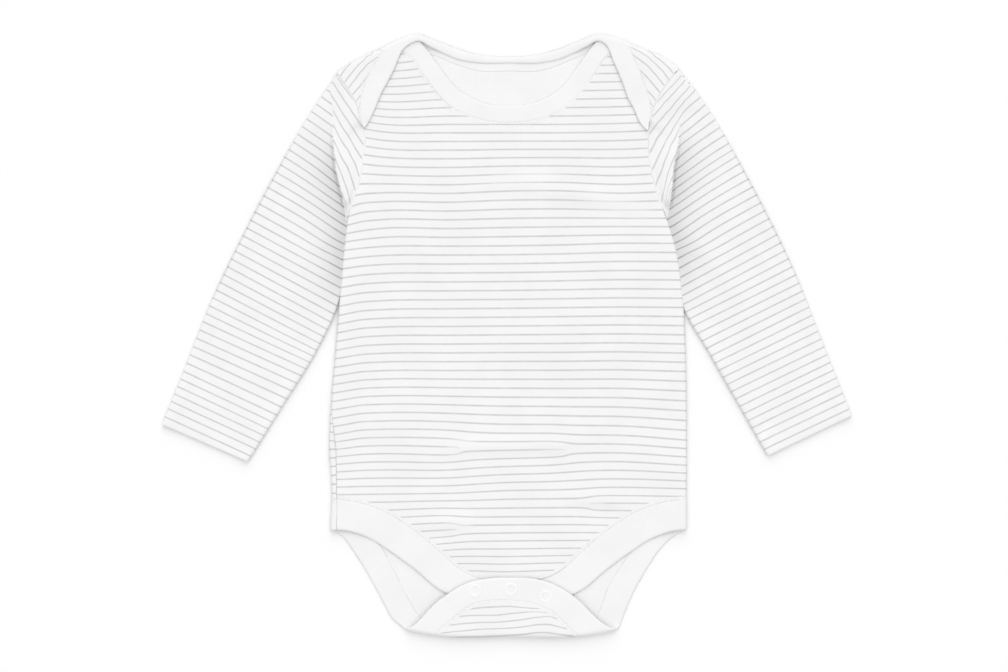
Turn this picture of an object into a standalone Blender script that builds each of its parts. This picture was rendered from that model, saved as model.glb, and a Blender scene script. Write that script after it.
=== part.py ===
"""A baby's long-sleeved bodysuit, laid flat on its back with its sleeves down.

The back is cut in one with two shoulder laps and a crotch flap. The laps fold over on to the front,
and the flap folds up over the front's tab, where three snaps hold it. White bindings edge the neck
and the legs. Lengths are in metres. X runs to the right as the garment is seen, Y towards the neck
and Z up from the surface it lies on.
"""

from math import ceil, pi

import bmesh
import bpy
import numpy as np
from mathutils.geometry import delaunay_2d_cdt

CLOTH = 0.0010  # the knit's wall
BAND = 0.0014  # the bindings' wall, a folded ribbon
BAND_INSET = 0.0001  # of the back's bindings from its outer face, so that the back rests on its cloth
GAP = 0.0003  # between pieces at a seam, and between layers that touch
FOLD_GAP = 0.0007  # at a seam where it turns round a fold, whose facets come nearer
FOLD_GAP_EASE = 0.006  # how far beyond the fold the seam takes to come back to the usual gap
SNAP_PRESS = 0.0010  # a closed stud and socket, between tab and flap
SNAP_RING = 0.0008
SNAP_RADIUS = 0.0049
SNAP_HOLE = 0.0023
SNAP_PRESS_RADIUS = 0.0045

# Heights of the middle of each wall, stacked from the layers below it.
BACK_Z = CLOTH / 2
FRONT_Z = BAND + GAP + BAND / 2
LAP_TOP = FRONT_Z + BAND / 2 + GAP + BAND
FLAP_TOP = FRONT_Z + BAND / 2 + GAP + SNAP_PRESS + GAP + BAND

# How far the middle of the cloth turns round at each fold: half the height between its two layers.
SHOULDER_ROLL = (LAP_TOP - CLOTH) / 2
CROTCH_ROLL = (FLAP_TOP - CLOTH) / 2
SIDE_ROLL = SHOULDER_ROLL
SIDE_Z = BACK_Z + 2 * SIDE_ROLL

# The cloth is folded over above the first of these, below the second, and along the sides above the
# third. A fold's direction is evened out over its spread to each side.
TOP_FOLD_Y = 0.130
CROTCH_FOLD_Y = -0.175
SIDE_FOLD_Y = -0.150
END_Y = 1.0  # beyond the garment
TOP_SPREAD = 0.020
SPREAD = 0.010

# The garment's centre line leans a little: x at mid height, and its change for each metre up.
CENTRE_X = 0.0022
CENTRE_LEAN = -0.0049

INSIDE = 1  # a triangulation's setting: keep only what lies inside the border
LEFT, RIGHT = -1, 1
SIDE_NAMES = {LEFT: "left", RIGHT: "right"}

# Each table below gives places as they lie, x outwards from the centre line and y up from mid height.

# The fold along the shoulders and the back neck: x, y, from the middle out to the shoulder point.
TOP_FOLD = {
    LEFT: [(0, 0.1910), (0.0300, 0.1950), (0.0515, 0.2030), (0.0623, 0.2065), (0.0730, 0.2035),
           (0.0860, 0.1975), (0.1000, 0.1910), (0.1175, 0.1805)],
    RIGHT: [(0, 0.1910), (0.0300, 0.1950), (0.0515, 0.2030), (0.0621, 0.2065), (0.0725, 0.2045),
            (0.0900, 0.1970), (0.1055, 0.1910), (0.1175, 0.1825)],
}
# The fold at the crotch: x, y, from the middle out to the corner.
CROTCH_FOLD = [(0, -0.2065), (0.0500, -0.2058), (0.0590, -0.2045), (0.0675, -0.2028), (0.0745, -0.2000)]

# The body's sides: y, x of the left edge, x of the right edge, and how far past each edge its side
# seam has rolled towards the front.
SIDES = [
    (0.0840, 0.1105, 0.1070, 0.0000, 0.0000),
    (0.0585, 0.1135, 0.1145, 0.0000, 0.0000),
    (0.0245, 0.1165, 0.1190, 0.0010, 0.0000),
    (-0.0100, 0.1195, 0.1205, 0.0018, 0.0000),
    (-0.0440, 0.1225, 0.1210, 0.0044, 0.0000),
    (-0.0785, 0.1240, 0.1210, 0.0054, 0.0000),
    (-0.1060, 0.1225, 0.1207, 0.0040, 0.0000),
    (-0.1330, 0.1235, 0.1205, 0.0050, 0.0000),
]
UNDERARM_Y = SIDES[0][0]
LEG_SEAM_Y = -0.1120  # where the leg bindings' seams meet the side seams
LEG_EDGE_Y = -0.1330  # where their free edges do

# The armhole seam on the front, and on the lap that covers its top: x, y, from the shoulder down.
ARMHOLE = {
    LEFT: [(0.1175, 0.1800), (0.1120, 0.1715), (0.1065, 0.1625), (0.1020, 0.1545), (0.0998, 0.1460),
           (0.0990, 0.1365), (0.1005, 0.1200), (0.1025, 0.1065), (0.1070, 0.0930), (0.1105, 0.0840)],
    RIGHT: [(0.1175, 0.1820), (0.1120, 0.1770), (0.1070, 0.1700), (0.1020, 0.1615), (0.0980, 0.1515),
            (0.0960, 0.1365), (0.0965, 0.1200), (0.0990, 0.1065), (0.1030, 0.0930), (0.1070, 0.0840)],
}
# The armhole seam on the back, which the front hides.
BACK_ARMHOLE = {
    LEFT: [(0.1175, 0.1800), (0.1105, 0.1630), (0.1065, 0.1450), (0.1055, 0.1250), (0.1070, 0.1030),
           (0.1105, 0.0840)],
    RIGHT: [(0.1175, 0.1820), (0.1090, 0.1640), (0.1040, 0.1450), (0.1025, 0.1250), (0.1035, 0.1030),
            (0.1070, 0.0840)],
}

# The front neck binding: x, y of its free edge, then x, y of its seam, from the middle out.
FRONT_NECK = [
    (0, 0.1578, 0, 0.1460),
    (0.0130, 0.1585, 0.0155, 0.1473),
    (0.0330, 0.1675, 0.0400, 0.1575),
    (0.0490, 0.1865, 0.0590, 0.1800),
    (0.0575, 0.1985, 0.0662, 0.1905),
    (0.0623, 0.2034, 0.0706, 0.1942),
    (0.0705, 0.2005, 0.0758, 0.1942),
    (0.0845, 0.1945, 0.0820, 0.1875),
    (0.0985, 0.1870, 0.0935, 0.1785),
    (0.1100, 0.1775, 0.1055, 0.1680),
]
# The back neck binding: x, y of its seam, 1 where the seam lies on top, and x, y of its free edge,
# which lies on top all the way.
BACK_NECK = {
    LEFT: [
        (0, 0.1810, 0, 0, 0.1865),
        (0.0195, 0.1810, 0, 0.0195, 0.1865),
        (0.0360, 0.1855, 0, 0.0370, 0.1898),
        (0.0515, 0.1920, 0, 0.0490, 0.1953),
        (0.0675, 0.1958, 0, 0.0575, 0.2000),
        (0.0750, 0.1970, 0, 0.0625, 0.2013),
        (0.0860, 0.1940, 1, 0.0720, 0.1955),
        (0.0895, 0.1885, 1, 0.0765, 0.1860),
        (0.0935, 0.1820, 1, 0.0805, 0.1775),
        (0.0985, 0.1700, 1, 0.0868, 0.1660),
        (0.1005, 0.1600, 1, 0.0905, 0.1560),
        (0.0995, 0.1500, 1, 0.0955, 0.1465),
    ],
    RIGHT: [
        (0, 0.1810, 0, 0, 0.1865),
        (0.0205, 0.1810, 0, 0.0210, 0.1865),
        (0.0355, 0.1855, 0, 0.0370, 0.1898),
        (0.0510, 0.1920, 0, 0.0490, 0.1953),
        (0.0670, 0.1970, 0, 0.0575, 0.2000),
        (0.0750, 0.1985, 0, 0.0625, 0.2013),
        (0.0835, 0.1950, 1, 0.0680, 0.1970),
        (0.0862, 0.1880, 1, 0.0715, 0.1885),
        (0.0890, 0.1820, 1, 0.0745, 0.1815),
        (0.0935, 0.1710, 1, 0.0795, 0.1685),
        (0.0972, 0.1600, 1, 0.0850, 0.1545),
        (0.0972, 0.1500, 1, 0.0915, 0.1455),
    ],
}

# The front leg binding: x, y of its seam, then x, y of its free edge, from the middle out.
FRONT_LEG = [
    (0, -0.1690, 0, -0.1855),
    (0.0130, -0.1680, 0.0140, -0.1845),
    (0.0250, -0.1655, 0.0310, -0.1820),
    (0.0355, -0.1600, 0.0485, -0.1745),
    (0.0490, -0.1480, 0.0650, -0.1610),
    (0.0690, -0.1315, 0.0835, -0.1475),
    (0.0880, -0.1200, 0.0980, -0.1385),
    (0.1050, -0.1143, 0.1110, -0.1340),
]
# The back leg binding: x, y of its seam, 1 where it lies on top, x, y of its free edge and the same.
BACK_LEG = {
    LEFT: [
        (0, -0.1810, 1, 0, -0.1655, 1),
        (0.0130, -0.1810, 1, 0.0145, -0.1660, 1),
        (0.0245, -0.1830, 1, 0.0300, -0.1692, 1),
        (0.0385, -0.1920, 1, 0.0470, -0.1795, 1),
        (0.0485, -0.2005, 1, 0.0575, -0.1890, 1),
        (0.0580, -0.1980, 0, 0.0745, -0.2000, 0),
        (0.0650, -0.1895, 0, 0.0810, -0.1945, 0),
        (0.0735, -0.1745, 0, 0.0880, -0.1820, 0),
        (0.0830, -0.1555, 0, 0.0985, -0.1625, 0),
        (0.0915, -0.1405, 0, 0.1060, -0.1505, 0),
        (0.1060, -0.1235, 0, 0.1165, -0.1368, 0),
    ],
    RIGHT: [
        (0, -0.1810, 1, 0, -0.1655, 1),
        (0.0130, -0.1825, 1, 0.0140, -0.1660, 1),
        (0.0265, -0.1875, 1, 0.0300, -0.1705, 1),
        (0.0370, -0.1965, 1, 0.0460, -0.1808, 1),
        (0.0435, -0.2030, 1, 0.0555, -0.1905, 1),
        (0.0550, -0.1985, 0, 0.0740, -0.2000, 0),
        (0.0600, -0.1900, 0, 0.0780, -0.1900, 0),
        (0.0665, -0.1735, 0, 0.0840, -0.1760, 0),
        (0.0770, -0.1555, 0, 0.0930, -0.1600, 0),
        (0.0875, -0.1410, 0, 0.1010, -0.1480, 0),
        (0.1030, -0.1235, 0, 0.1110, -0.1380, 0),
    ],
}

# The sleeves: x, y of the outer edge, then x, y of the inner edge, from the armhole to the cuff.
SLEEVES = {
    LEFT: [
        (0.1180, 0.1800, 0.1115, 0.0845),
        (0.1395, 0.1485, 0.1140, 0.0780),
        (0.1555, 0.1230, 0.1148, 0.0690),
        (0.1720, 0.0920, 0.1160, 0.0550),
        (0.1885, 0.0580, 0.1183, 0.0245),
        (0.2055, 0.0210, 0.1315, -0.0090),
        (0.2235, -0.0245, 0.1575, -0.0510),
        (0.2385, -0.0605, 0.1795, -0.0860),
    ],
    RIGHT: [
        (0.1180, 0.1820, 0.1085, 0.0845),
        (0.1440, 0.1495, 0.1120, 0.0780),
        (0.1610, 0.1195, 0.1145, 0.0690),
        (0.1790, 0.0820, 0.1172, 0.0500),
        (0.1940, 0.0480, 0.1208, 0.0200),
        (0.2070, 0.0145, 0.1365, -0.0120),
        (0.2195, -0.0180, 0.1540, -0.0430),
        (0.2340, -0.0545, 0.1760, -0.0820),
    ],
}
SLEEVE_ROLL = 0.0012  # at the sleeves' folds, past the armhole
SLEEVE_BACK_Z = BACK_Z + 0.0001  # the back layer's middle, a touch above the surface
SLEEVE_Z = 0.0021  # the front layer's middle between its folds
SLEEVE_EASE = 0.010  # how far inside a fold the layer settles to that
CREASE_OUT = 0.0200  # widest reach of the pleat beside the armhole
CREASE_SKEW = 0.85  # below 1 puts the widest place above the middle
CREASE_Z = 0.0036
CREASE_FALL = 0.0060  # the pleat's fall to the sleeve at the underarm
CREASE_FALL_MORE = 0.0100  # and how much longer it is at the shoulder
LAP_END_Y = 0.1500  # above here the sleeve's seam is on the lap, and below it on the front
ARMHOLE_FADE = 0.6  # share of the sleeve's length over which the armhole's curve dies away
SHOULDER_FADE = 0.12  # and over which the shoulder's high fold does
RING_CROWDING = 1.3  # above 1 puts the rings closer together near the armhole

# The body's soft folds: x, y of the middle, half length, half width, height and turn in radians.
SOFT_FOLDS = [
    (0.0050, -0.0760, 0.0450, 0.0060, 0.0010, 0.05),
    (0.0420, 0.0980, 0.0400, 0.0065, 0.0009, -0.08),
    (-0.0450, -0.1280, 0.0200, 0.0050, 0.0008, 0.10),
    (0.0650, -0.1120, 0.0250, 0.0055, 0.0008, -0.10),
]
SIDE_EASE = 0.030  # how far inside a side the front comes down from the side's height
RISE_END_Y, RISE_FADE = 0.1400, 0.0500  # the sides' height dies away towards the laps

# The snaps: x, y of each, from the left.
SNAPS = {"left": (-0.0245, -0.1745), "middle": (0.0000, -0.1735), "right": (0.0235, -0.1785)}

STEP = 0.0060  # spacing of points along an edge
LAST_STEP = STEP / 8  # the least from the last of them but one to the edge's end
FINE = 0.0005  # spacing while an edge is worked out
CURVE_STEPS = 60  # of a smooth curve from one row of its table to the next
ROUNDING = 1e-6
BACK_GRID = 0.0200
FRONT_GRID = 0.0120
BAND_GRID = 0.0070
TRIANGLE_HEIGHT = 0.87  # of a triangle with even sides
ROLL_ROWS = 7  # facets round a fold's half turn
SLEEVE_RINGS = 20
SLEEVE_FRONT = 10  # facets across the front layer
SLEEVE_BACK = 6
SLEEVE_TURN = 4  # facets round a sleeve's fold
TURNED_STEPS = 32
WELD = 1e-6  # points nearer than this are one

WHITE_KNIT = (0.90, 0.90, 0.91, 1)
WHITE_RIB = (0.93, 0.93, 0.94, 1)
SNAP_WHITE = (0.88, 0.88, 0.89, 1)


def centre_x(y):
    return CENTRE_X + CENTRE_LEAN * np.asarray(y)


def placed(points, side):
    """Places out from the centre line, as x and y. Columns come in pairs."""
    points = np.array(points, float)
    for column in range(0, points.shape[1], 2):
        points[:, column] = centre_x(points[:, column + 1]) + side * points[:, column]
    return points


def evenly(line, step):
    """The same line with its points a step apart or a little less."""
    along = np.concatenate([[0], np.cumsum(np.linalg.norm(np.diff(line, axis=0), axis=1))])
    at = np.linspace(0, along[-1], max(2, ceil(along[-1] / step) + 1))
    return np.column_stack([np.interp(at, along, column) for column in line.T])


def smooth(rows, step):
    """Points a step apart along a smooth curve through the rows."""
    rows = np.array(rows, float)
    gaps = np.linalg.norm(np.diff(rows, axis=0), axis=1)
    at = np.concatenate([[0], np.cumsum(gaps)])
    slope = np.gradient(rows, at, axis=0)
    fine = np.linspace(0, at[-1], CURVE_STEPS * len(gaps))
    piece = np.clip(np.searchsorted(at, fine, side="right") - 1, 0, len(gaps) - 1)
    width = gaps[piece][:, None]
    u = (fine - at[piece])[:, None] / width
    line = rows[piece] * (1 + 2 * u) * (1 - u) ** 2 + rows[piece + 1] * (3 - 2 * u) * u**2
    line += width * (slope[piece] * u * (1 - u) ** 2 - slope[piece + 1] * u**2 * (1 - u))
    return evenly(line, step)


def from_end_to_end(rows):
    """One run of rows from the left end to the right end, of a run from the middle for each side."""
    return np.concatenate([rows[LEFT][:0:-1], rows[RIGHT]])


def both_sides(table):
    """A table from the middle out, for each side or for both, as one run of placed rows."""
    tables = table if isinstance(table, dict) else {LEFT: table, RIGHT: table}
    return from_end_to_end({side: placed(tables[side], side) for side in (LEFT, RIGHT)})


def unit(vectors):
    return vectors / np.linalg.norm(vectors, axis=-1, keepdims=True)


def ease(low, high, value):
    """A soft step from 0 at low to 1 at high."""
    t = np.clip((value - low) / (high - low), 0, 1)
    return t * t * (3 - 2 * t)


class Fold:
    """A fold of the cloth along an outline. Beyond it the cloth turns over and lies back on itself."""

    REACH = 0.060  # how far the fold's line runs on past its ends
    FADE = 0.010  # over which the fold opens out at its limits

    def __init__(self, outline, roll, outward, low_y, high_y, spread):
        line = smooth(outline, FINE)
        start, end = unit(line[0] - line[1]), unit(line[-1] - line[-2])
        line = np.vstack([line[0] + start * self.REACH, line, line[-1] + end * self.REACH])
        line = evenly(line, FINE)
        along = unit(np.gradient(line, axis=0))
        out = np.column_stack([along[:, 1], -along[:, 0]]) * outward
        self.line = line - out * CLOTH / 2
        # The cloth turns over along directions that change slowly, so that a deep lap stays whole.
        reach = round(spread / FINE)
        ends = np.pad(out, ((reach, reach), (0, 0)), mode="edge")
        window = np.ones(2 * reach + 1) / (2 * reach + 1)
        self.out = unit(np.column_stack([np.convolve(ends[:, i], window, "valid") for i in (0, 1)]))
        self.roll = roll
        self.low_y, self.high_y = low_y, high_y

    def past(self, points):
        """How far each point lies beyond the fold's line, and the way out there."""
        away = points[:, None, :] - self.line[None, :, :]
        across = away[:, :, 0] * self.out[:, 1] - away[:, :, 1] * self.out[:, 0]
        near = np.abs(across).argmin(axis=1)
        out = self.out[near]
        return ((points - self.line[near]) * out).sum(axis=1), out

    def turned(self, cut, up):
        """Each point's shift in plan and its rise once the cloth is folded. Up is 1, under is -1."""
        past, out = self.past(cut)
        round_it = np.maximum(past + self.roll, 0)
        angle = np.minimum(round_it / self.roll, pi)
        lies = self.roll * np.sin(angle) - np.maximum(round_it - pi * self.roll, 0)
        folded = ease(self.low_y, self.low_y + self.FADE, cut[:, 1])
        folded *= 1 - ease(self.high_y - self.FADE, self.high_y, cut[:, 1])
        shift = ((lies - round_it) * folded)[:, None] * out
        return shift, up * self.roll * (1 - np.cos(angle)) * folded

    def unfold(self, points):
        """Places in the cut of points given as they lie on top."""
        past, out = self.past(points)
        return points + out * ((pi - 2) * self.roll - 2 * past)[:, None]

    def rows(self, points):
        """The facet round the fold that each point falls in, to put points where the facets meet."""
        past, _ = self.past(points)
        facet = np.floor((past + self.roll) / (pi * self.roll / ROLL_ROWS)) + 1
        here = (points[:, 1] > self.low_y) & (points[:, 1] < self.high_y)
        return np.where(here, np.clip(facet, 0, ROLL_ROWS + 1), 0)

    def nearness(self, points):
        """1 where the cloth turns, down to 0 some way before and after it."""
        past, _ = self.past(points)
        half = pi * self.roll / 2
        off = np.abs(past + self.roll - half) - half
        here = (points[:, 1] > self.low_y) & (points[:, 1] < self.high_y)
        return np.where(here, 1 - ease(0, FOLD_GAP_EASE, off), 0)

    def stations(self, past):
        """Points a step apart along the fold, this far beyond its line."""
        keep = slice(None, None, round(STEP / FINE))
        line = self.line[keep] + self.out[keep] * past
        return line[(line[:, 1] > self.low_y) & (line[:, 1] < self.high_y)]


def side_line(side):
    column = 1 if side == LEFT else 2
    return placed([(row[column], row[0]) for row in SIDES], side)


def side_fold(side):
    return Fold(side_line(side), SIDE_ROLL, -side, SIDE_FOLD_Y, UNDERARM_Y + Fold.FADE, SPREAD)


TOP = Fold(both_sides(TOP_FOLD), SHOULDER_ROLL, -1, TOP_FOLD_Y, END_Y, TOP_SPREAD)
CROTCH = Fold(both_sides(CROTCH_FOLD), CROTCH_ROLL, 1, -END_Y, CROTCH_FOLD_Y, SPREAD)
SIDE = {side: side_fold(side) for side in (LEFT, RIGHT)}
BACK_FOLDS = [TOP, CROTCH, SIDE[LEFT], SIDE[RIGHT]]
FRONT_FOLDS = [SIDE[LEFT], SIDE[RIGHT]]


def side_seam(side, y, panel):
    """The side seam's place in the cut of the back (panel 1) or the front (panel -1)."""
    fold = SIDE[side]
    rows = np.array(SIDES)[::-1]
    rolled = np.interp(y, rows[:, 0], rows[:, 3 if side == LEFT else 4])
    order = np.argsort(fold.line[:, 1])
    line, out = fold.line[order], fold.out[order]
    at = [np.interp(y, line[:, 1], column) for column in (line[:, 0], line[:, 1], *out.T)]
    past = (pi / 2 - 1) * SIDE_ROLL + panel * rolled - FOLD_GAP / 2
    return np.column_stack(at[:2]) + np.column_stack(at[2:]) * past[:, None]


def front_height(plan):
    """Height of the middle of the front's wall: raised along the sides, with soft folds."""
    height = np.full(len(plan), FRONT_Z)
    fade = 1 - ease(RISE_END_Y - RISE_FADE, RISE_END_Y, plan[:, 1])
    for side in (LEFT, RIGHT):
        past, _ = SIDE[side].past(plan)
        inside = np.maximum(-past - SIDE_ROLL, 0)
        height += (SIDE_Z - FRONT_Z) * fade * (1 - ease(0, SIDE_EASE, inside))
    for x, y, length, width, rise, turn in SOFT_FOLDS:
        along = (plan[:, 0] - x) * np.cos(turn) + (plan[:, 1] - y) * np.sin(turn)
        across = (plan[:, 1] - y) * np.cos(turn) - (plan[:, 0] - x) * np.sin(turn)
        height += rise * np.exp(-((along / length) ** 4) - (across / width) ** 2)
    return height


def lay_back(cut):
    """The middle of the back's wall once its sides, laps and flap are folded."""
    laid = np.column_stack([cut, np.full(len(cut), BACK_Z)])
    for fold in BACK_FOLDS:
        shift, rise = fold.turned(cut, 1)
        laid[:, :2] += shift
        laid[:, 2] += rise
    return laid


def lay_front(cut):
    """The middle of the front's wall, its sides turned down to meet the back."""
    laid = np.column_stack([cut, front_height(cut)])
    for fold in FRONT_FOLDS:
        shift, drop = fold.turned(cut, -1)
        laid[:, :2] += shift
        laid[:, 2] += drop
    return laid


def stations(edge, folds):
    """Points a step apart along an edge, and wherever a fold's facets meet. Gives their numbers."""
    along = np.concatenate([[0], np.cumsum(np.linalg.norm(np.diff(edge, axis=0), axis=1))])
    step = along[-1] / max(1, round(along[-1] / STEP))
    number = np.floor(along / step + ROUNDING)
    keep = np.append(True, number[1:] != number[:-1])
    for fold in folds:
        facet = fold.rows(edge)
        keep[1:] |= facet[1:] != facet[:-1]
    at = np.flatnonzero(keep)
    at = at[along[-1] - along[at] > LAST_STEP]
    return np.append(at, len(edge) - 1)


def binding_edges(rows, folds):
    """A binding's seam and free edge in the cut, and the edge of the panel that it is sewn to."""
    line = smooth(rows, FINE / 2)
    seam, free = line[:, :2], line[:, 2:]
    turn = np.max([np.zeros(len(seam)), *[fold.nearness(seam) for fold in folds]], axis=0)
    panel = seam + unit(seam - free) * (GAP + (FOLD_GAP - GAP) * turn)[:, None]
    at = stations(seam, folds)
    return seam[at], free[stations(free, folds)], panel[at]


def end_rows(side, panel):
    ends = [side_seam(side, [y], panel) for y in (LEG_SEAM_Y, LEG_EDGE_Y)]
    return np.column_stack(ends)


def neck_back_edges():
    rows = {}
    for side in (LEFT, RIGHT):
        table = np.array(BACK_NECK[side])
        seam, free = placed(table[:, :2], side), placed(table[:, 3:], side)
        seam = np.where(table[:, 2:3] > 0, TOP.unfold(seam), seam)
        rows[side] = np.column_stack([seam, TOP.unfold(free)])
    return binding_edges(from_end_to_end(rows), [TOP])


def leg_back_edges():
    rows = {}
    for side in (LEFT, RIGHT):
        table = np.array(BACK_LEG[side])
        seam, free = placed(table[:, :2], side), placed(table[:, 3:5], side)
        seam = np.where(table[:, 2:3] > 0, CROTCH.unfold(seam), seam)
        free = np.where(table[:, 5:6] > 0, CROTCH.unfold(free), free)
        rows[side] = np.vstack([np.column_stack([seam, free]), end_rows(side, 1)])
    return binding_edges(from_end_to_end(rows), BACK_FOLDS[1:])


def neck_front_edges():
    return binding_edges(both_sides(FRONT_NECK)[:, [2, 3, 0, 1]], [])


def leg_front_edges():
    rows = {}
    for side in (LEFT, RIGHT):
        rows[side] = np.vstack([placed(FRONT_LEG, side), end_rows(side, -1)])
    return binding_edges(from_end_to_end(rows), FRONT_FOLDS)


def within(points, loop):
    """Which points lie inside the closed edge."""
    x, y = points[:, :1], points[:, 1:]
    ax, ay = loop[:, 0], loop[:, 1]
    bx, by = np.roll(ax, -1), np.roll(ay, -1)
    crosses = (ay > y) != (by > y)
    with np.errstate(divide="ignore", invalid="ignore"):
        at = ax + (y - ay) / (by - ay) * (bx - ax)
    return (crosses & (x < at)).sum(axis=1) % 2 == 1


def clear_of(points, loop, distance):
    away = np.linalg.norm(points[:, None, :] - loop[None, :, :], axis=2).min(axis=1)
    return points[away > distance]


def fill_points(loop, folds, grid):
    """Points inside the cut: an even grid on the flat, and rows round each fold."""
    low, high = loop.min(axis=0), loop.max(axis=0)
    rows = np.arange(low[1], high[1], grid * TRIANGLE_HEIGHT)
    points = [
        (x + (number % 2) * grid / 2, y)
        for number, y in enumerate(rows)
        for x in np.arange(low[0], high[0], grid)
    ]
    points = np.array(points)
    edge = evenly(np.vstack([loop, loop[:1]]), FINE)
    points = clear_of(points[within(points, loop)], edge, min(grid, STEP) * 0.5)
    for fold in folds:
        facet = fold.rows(points)
        points = points[(facet == 0) | (facet > ROLL_ROWS)]
    found = [points]
    for fold in folds:
        for row in range(ROLL_ROWS + 1):
            line = fold.stations(-fold.roll + row * pi * fold.roll / ROLL_ROWS)
            line = line[within(line, loop)]
            found.append(clear_of(line, edge, fold.roll / ROLL_ROWS))
    return np.vstack(found)


def new_object(name, mesh, material, collection):
    mesh.shade_smooth()
    mesh.materials.append(material)
    obj = bpy.data.objects.new(name, mesh)
    collection.objects.link(obj)
    return obj


def cloth(name, edges, lay, folds, grid, material, collection, wall=CLOTH, outside=0.0):
    """A piece cut to the closed run of edges and laid out, with its wall added."""
    loop = np.vstack([edge[:-1] for edge in edges])
    cut = np.vstack([loop, fill_points(loop, folds, grid)])
    count = len(loop)
    border = [(i, (i + 1) % count) for i in range(count)]
    points, _, faces, *_ = delaunay_2d_cdt(cut.tolist(), border, [], INSIDE, WELD)
    laid = lay(np.array([tuple(point) for point in points]))
    mesh = bpy.data.meshes.new(name)
    mesh.from_pydata(laid.tolist(), [], faces)
    obj = new_object(name, mesh, material, collection)
    shell = obj.modifiers.new("Wall", "SOLIDIFY")
    shell.thickness = wall
    shell.offset = outside
    shell.use_even_offset = True
    return obj


def side_edge(side, panel):
    y = np.arange(UNDERARM_Y, LEG_SEAM_Y + FOLD_GAP, -FINE)
    edge = side_seam(side, np.append(y, LEG_SEAM_Y + FOLD_GAP), panel)
    return edge[stations(edge, FRONT_FOLDS)]


def round_panel(sides, neck, leg):
    """A panel's edges in one closed run, from the left end of the neck seam anticlockwise."""
    run = [*sides[LEFT], leg, *[edge[::-1] for edge in sides[RIGHT][::-1]], neck[::-1]]
    starts = [edge[0] for edge in run[1:]] + [run[0][0]]
    return [np.vstack([edge[:-1], start]) for edge, start in zip(run, starts)]


def back_panel(material, collection):
    """The back, cut in one with the shoulder laps and the crotch flap."""
    neck, leg = neck_back_edges()[2], leg_back_edges()[2]
    sides = {}
    for side in (LEFT, RIGHT):
        armhole = placed(BACK_ARMHOLE[side], side)
        lap = TOP.unfold(placed(ARMHOLE[side][1:4], side))[::-1]
        lap_end = neck[0 if side == LEFT else -1]
        shoulder = smooth(np.vstack([lap_end, lap, armhole[1:]]), FINE)
        sides[side] = [shoulder[stations(shoulder, BACK_FOLDS)], side_edge(side, 1)]
    loop = round_panel(sides, neck, leg)
    return cloth("back_panel", loop, lay_back, BACK_FOLDS, BACK_GRID, material, collection)


def front_panel(material, collection):
    """The front, from its neck seam under the laps down to the tab's seam."""
    neck, leg = neck_front_edges()[2], leg_front_edges()[2]
    sides = {}
    for side in (LEFT, RIGHT):
        armhole = smooth(placed(ARMHOLE[side], side), FINE)
        neck_end = neck[0 if side == LEFT else -1]
        armhole = np.vstack([neck_end, armhole[armhole[:, 1] < neck_end[1] - STEP]])
        sides[side] = [armhole[stations(armhole, FRONT_FOLDS)], side_edge(side, -1)]
    loop = round_panel(sides, neck, leg)
    return cloth("front_panel", loop, lay_front, FRONT_FOLDS, FRONT_GRID, material, collection)


def binding(name, edges, lay, folds, outside, material, collection):
    seam, free, _ = edges
    loop = [seam, np.array([seam[-1], free[-1]]), free[::-1], np.array([free[0], seam[0]])]
    return cloth(
        name, loop, lay, folds, BAND_GRID, material, collection, wall=BAND, outside=outside
    )


def sleeve_ring(side, share, row, armholes):
    """One ring of a sleeve: across the front, round the inner fold, across the back, round the outer."""
    outer, inner = placed([row[:2]], side)[0], placed([row[2:]], side)[0]
    across = unit(inner - outer)
    roll_out = SLEEVE_ROLL + (SHOULDER_ROLL - SLEEVE_ROLL) * (1 - ease(0, SHOULDER_FADE, share))
    roll_in = SLEEVE_ROLL
    start = outer + across * (roll_out + CLOTH / 2)
    end = inner - across * (roll_in + CLOTH / 2)
    fade = max(0.0, 1 - share / ARMHOLE_FADE) ** 2

    def layer(count, armhole):
        at = np.linspace(0, 1, count + 1)[:, None]
        seam = armhole[np.linspace(0, len(armhole) - 1, count + 1).astype(int)]
        straight = armhole[0] + (armhole[-1] - armhole[0]) * at
        return start + (end - start) * at + (seam - straight) * fade, at[:, 0], seam

    front, at, seam = layer(SLEEVE_FRONT, armholes[0])
    width = np.linalg.norm(end - start)
    top = SLEEVE_Z + np.zeros(len(at))
    top += (SLEEVE_BACK_Z + 2 * roll_out - SLEEVE_Z) * (1 - ease(0, SLEEVE_EASE, at * width))
    top += (SLEEVE_BACK_Z + 2 * roll_in - SLEEVE_Z) * (1 - ease(0, SLEEVE_EASE, (1 - at) * width))
    off = np.linalg.norm(front - seam, axis=1)
    crease = CREASE_OUT * np.sin(pi * at**CREASE_SKEW)
    at_seam = np.where(seam[:, 1] > LAP_END_Y, LAP_TOP - CLOTH / 2, front_height(seam))
    strip = at_seam + (CREASE_Z - at_seam) * ease(0, 1, off / (crease + ROUNDING))
    fall = CREASE_FALL + CREASE_FALL_MORE * (1 - at)
    top = strip + (top - strip) * ease(0, 1, (off - crease) / fall)
    front = np.column_stack([front, top])

    back, _, _ = layer(SLEEVE_BACK, armholes[1])
    back = np.column_stack([back, np.full(len(back), SLEEVE_BACK_Z)])[::-1]

    def turn(centre, way, roll, high, low):
        angles = np.linspace(0, pi, SLEEVE_TURN + 1)[1:-1]
        middle, half = (high + low) / 2, (high - low) / 2
        return [(*(centre + way * roll * np.sin(a)), middle + half * np.cos(a)) for a in angles]

    inner_turn = turn(end, across, roll_in, front[-1, 2], SLEEVE_BACK_Z)
    outer_turn = turn(start, -across, roll_out, front[0, 2], SLEEVE_BACK_Z)[::-1]
    return np.vstack([front, inner_turn, back, outer_turn])


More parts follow.
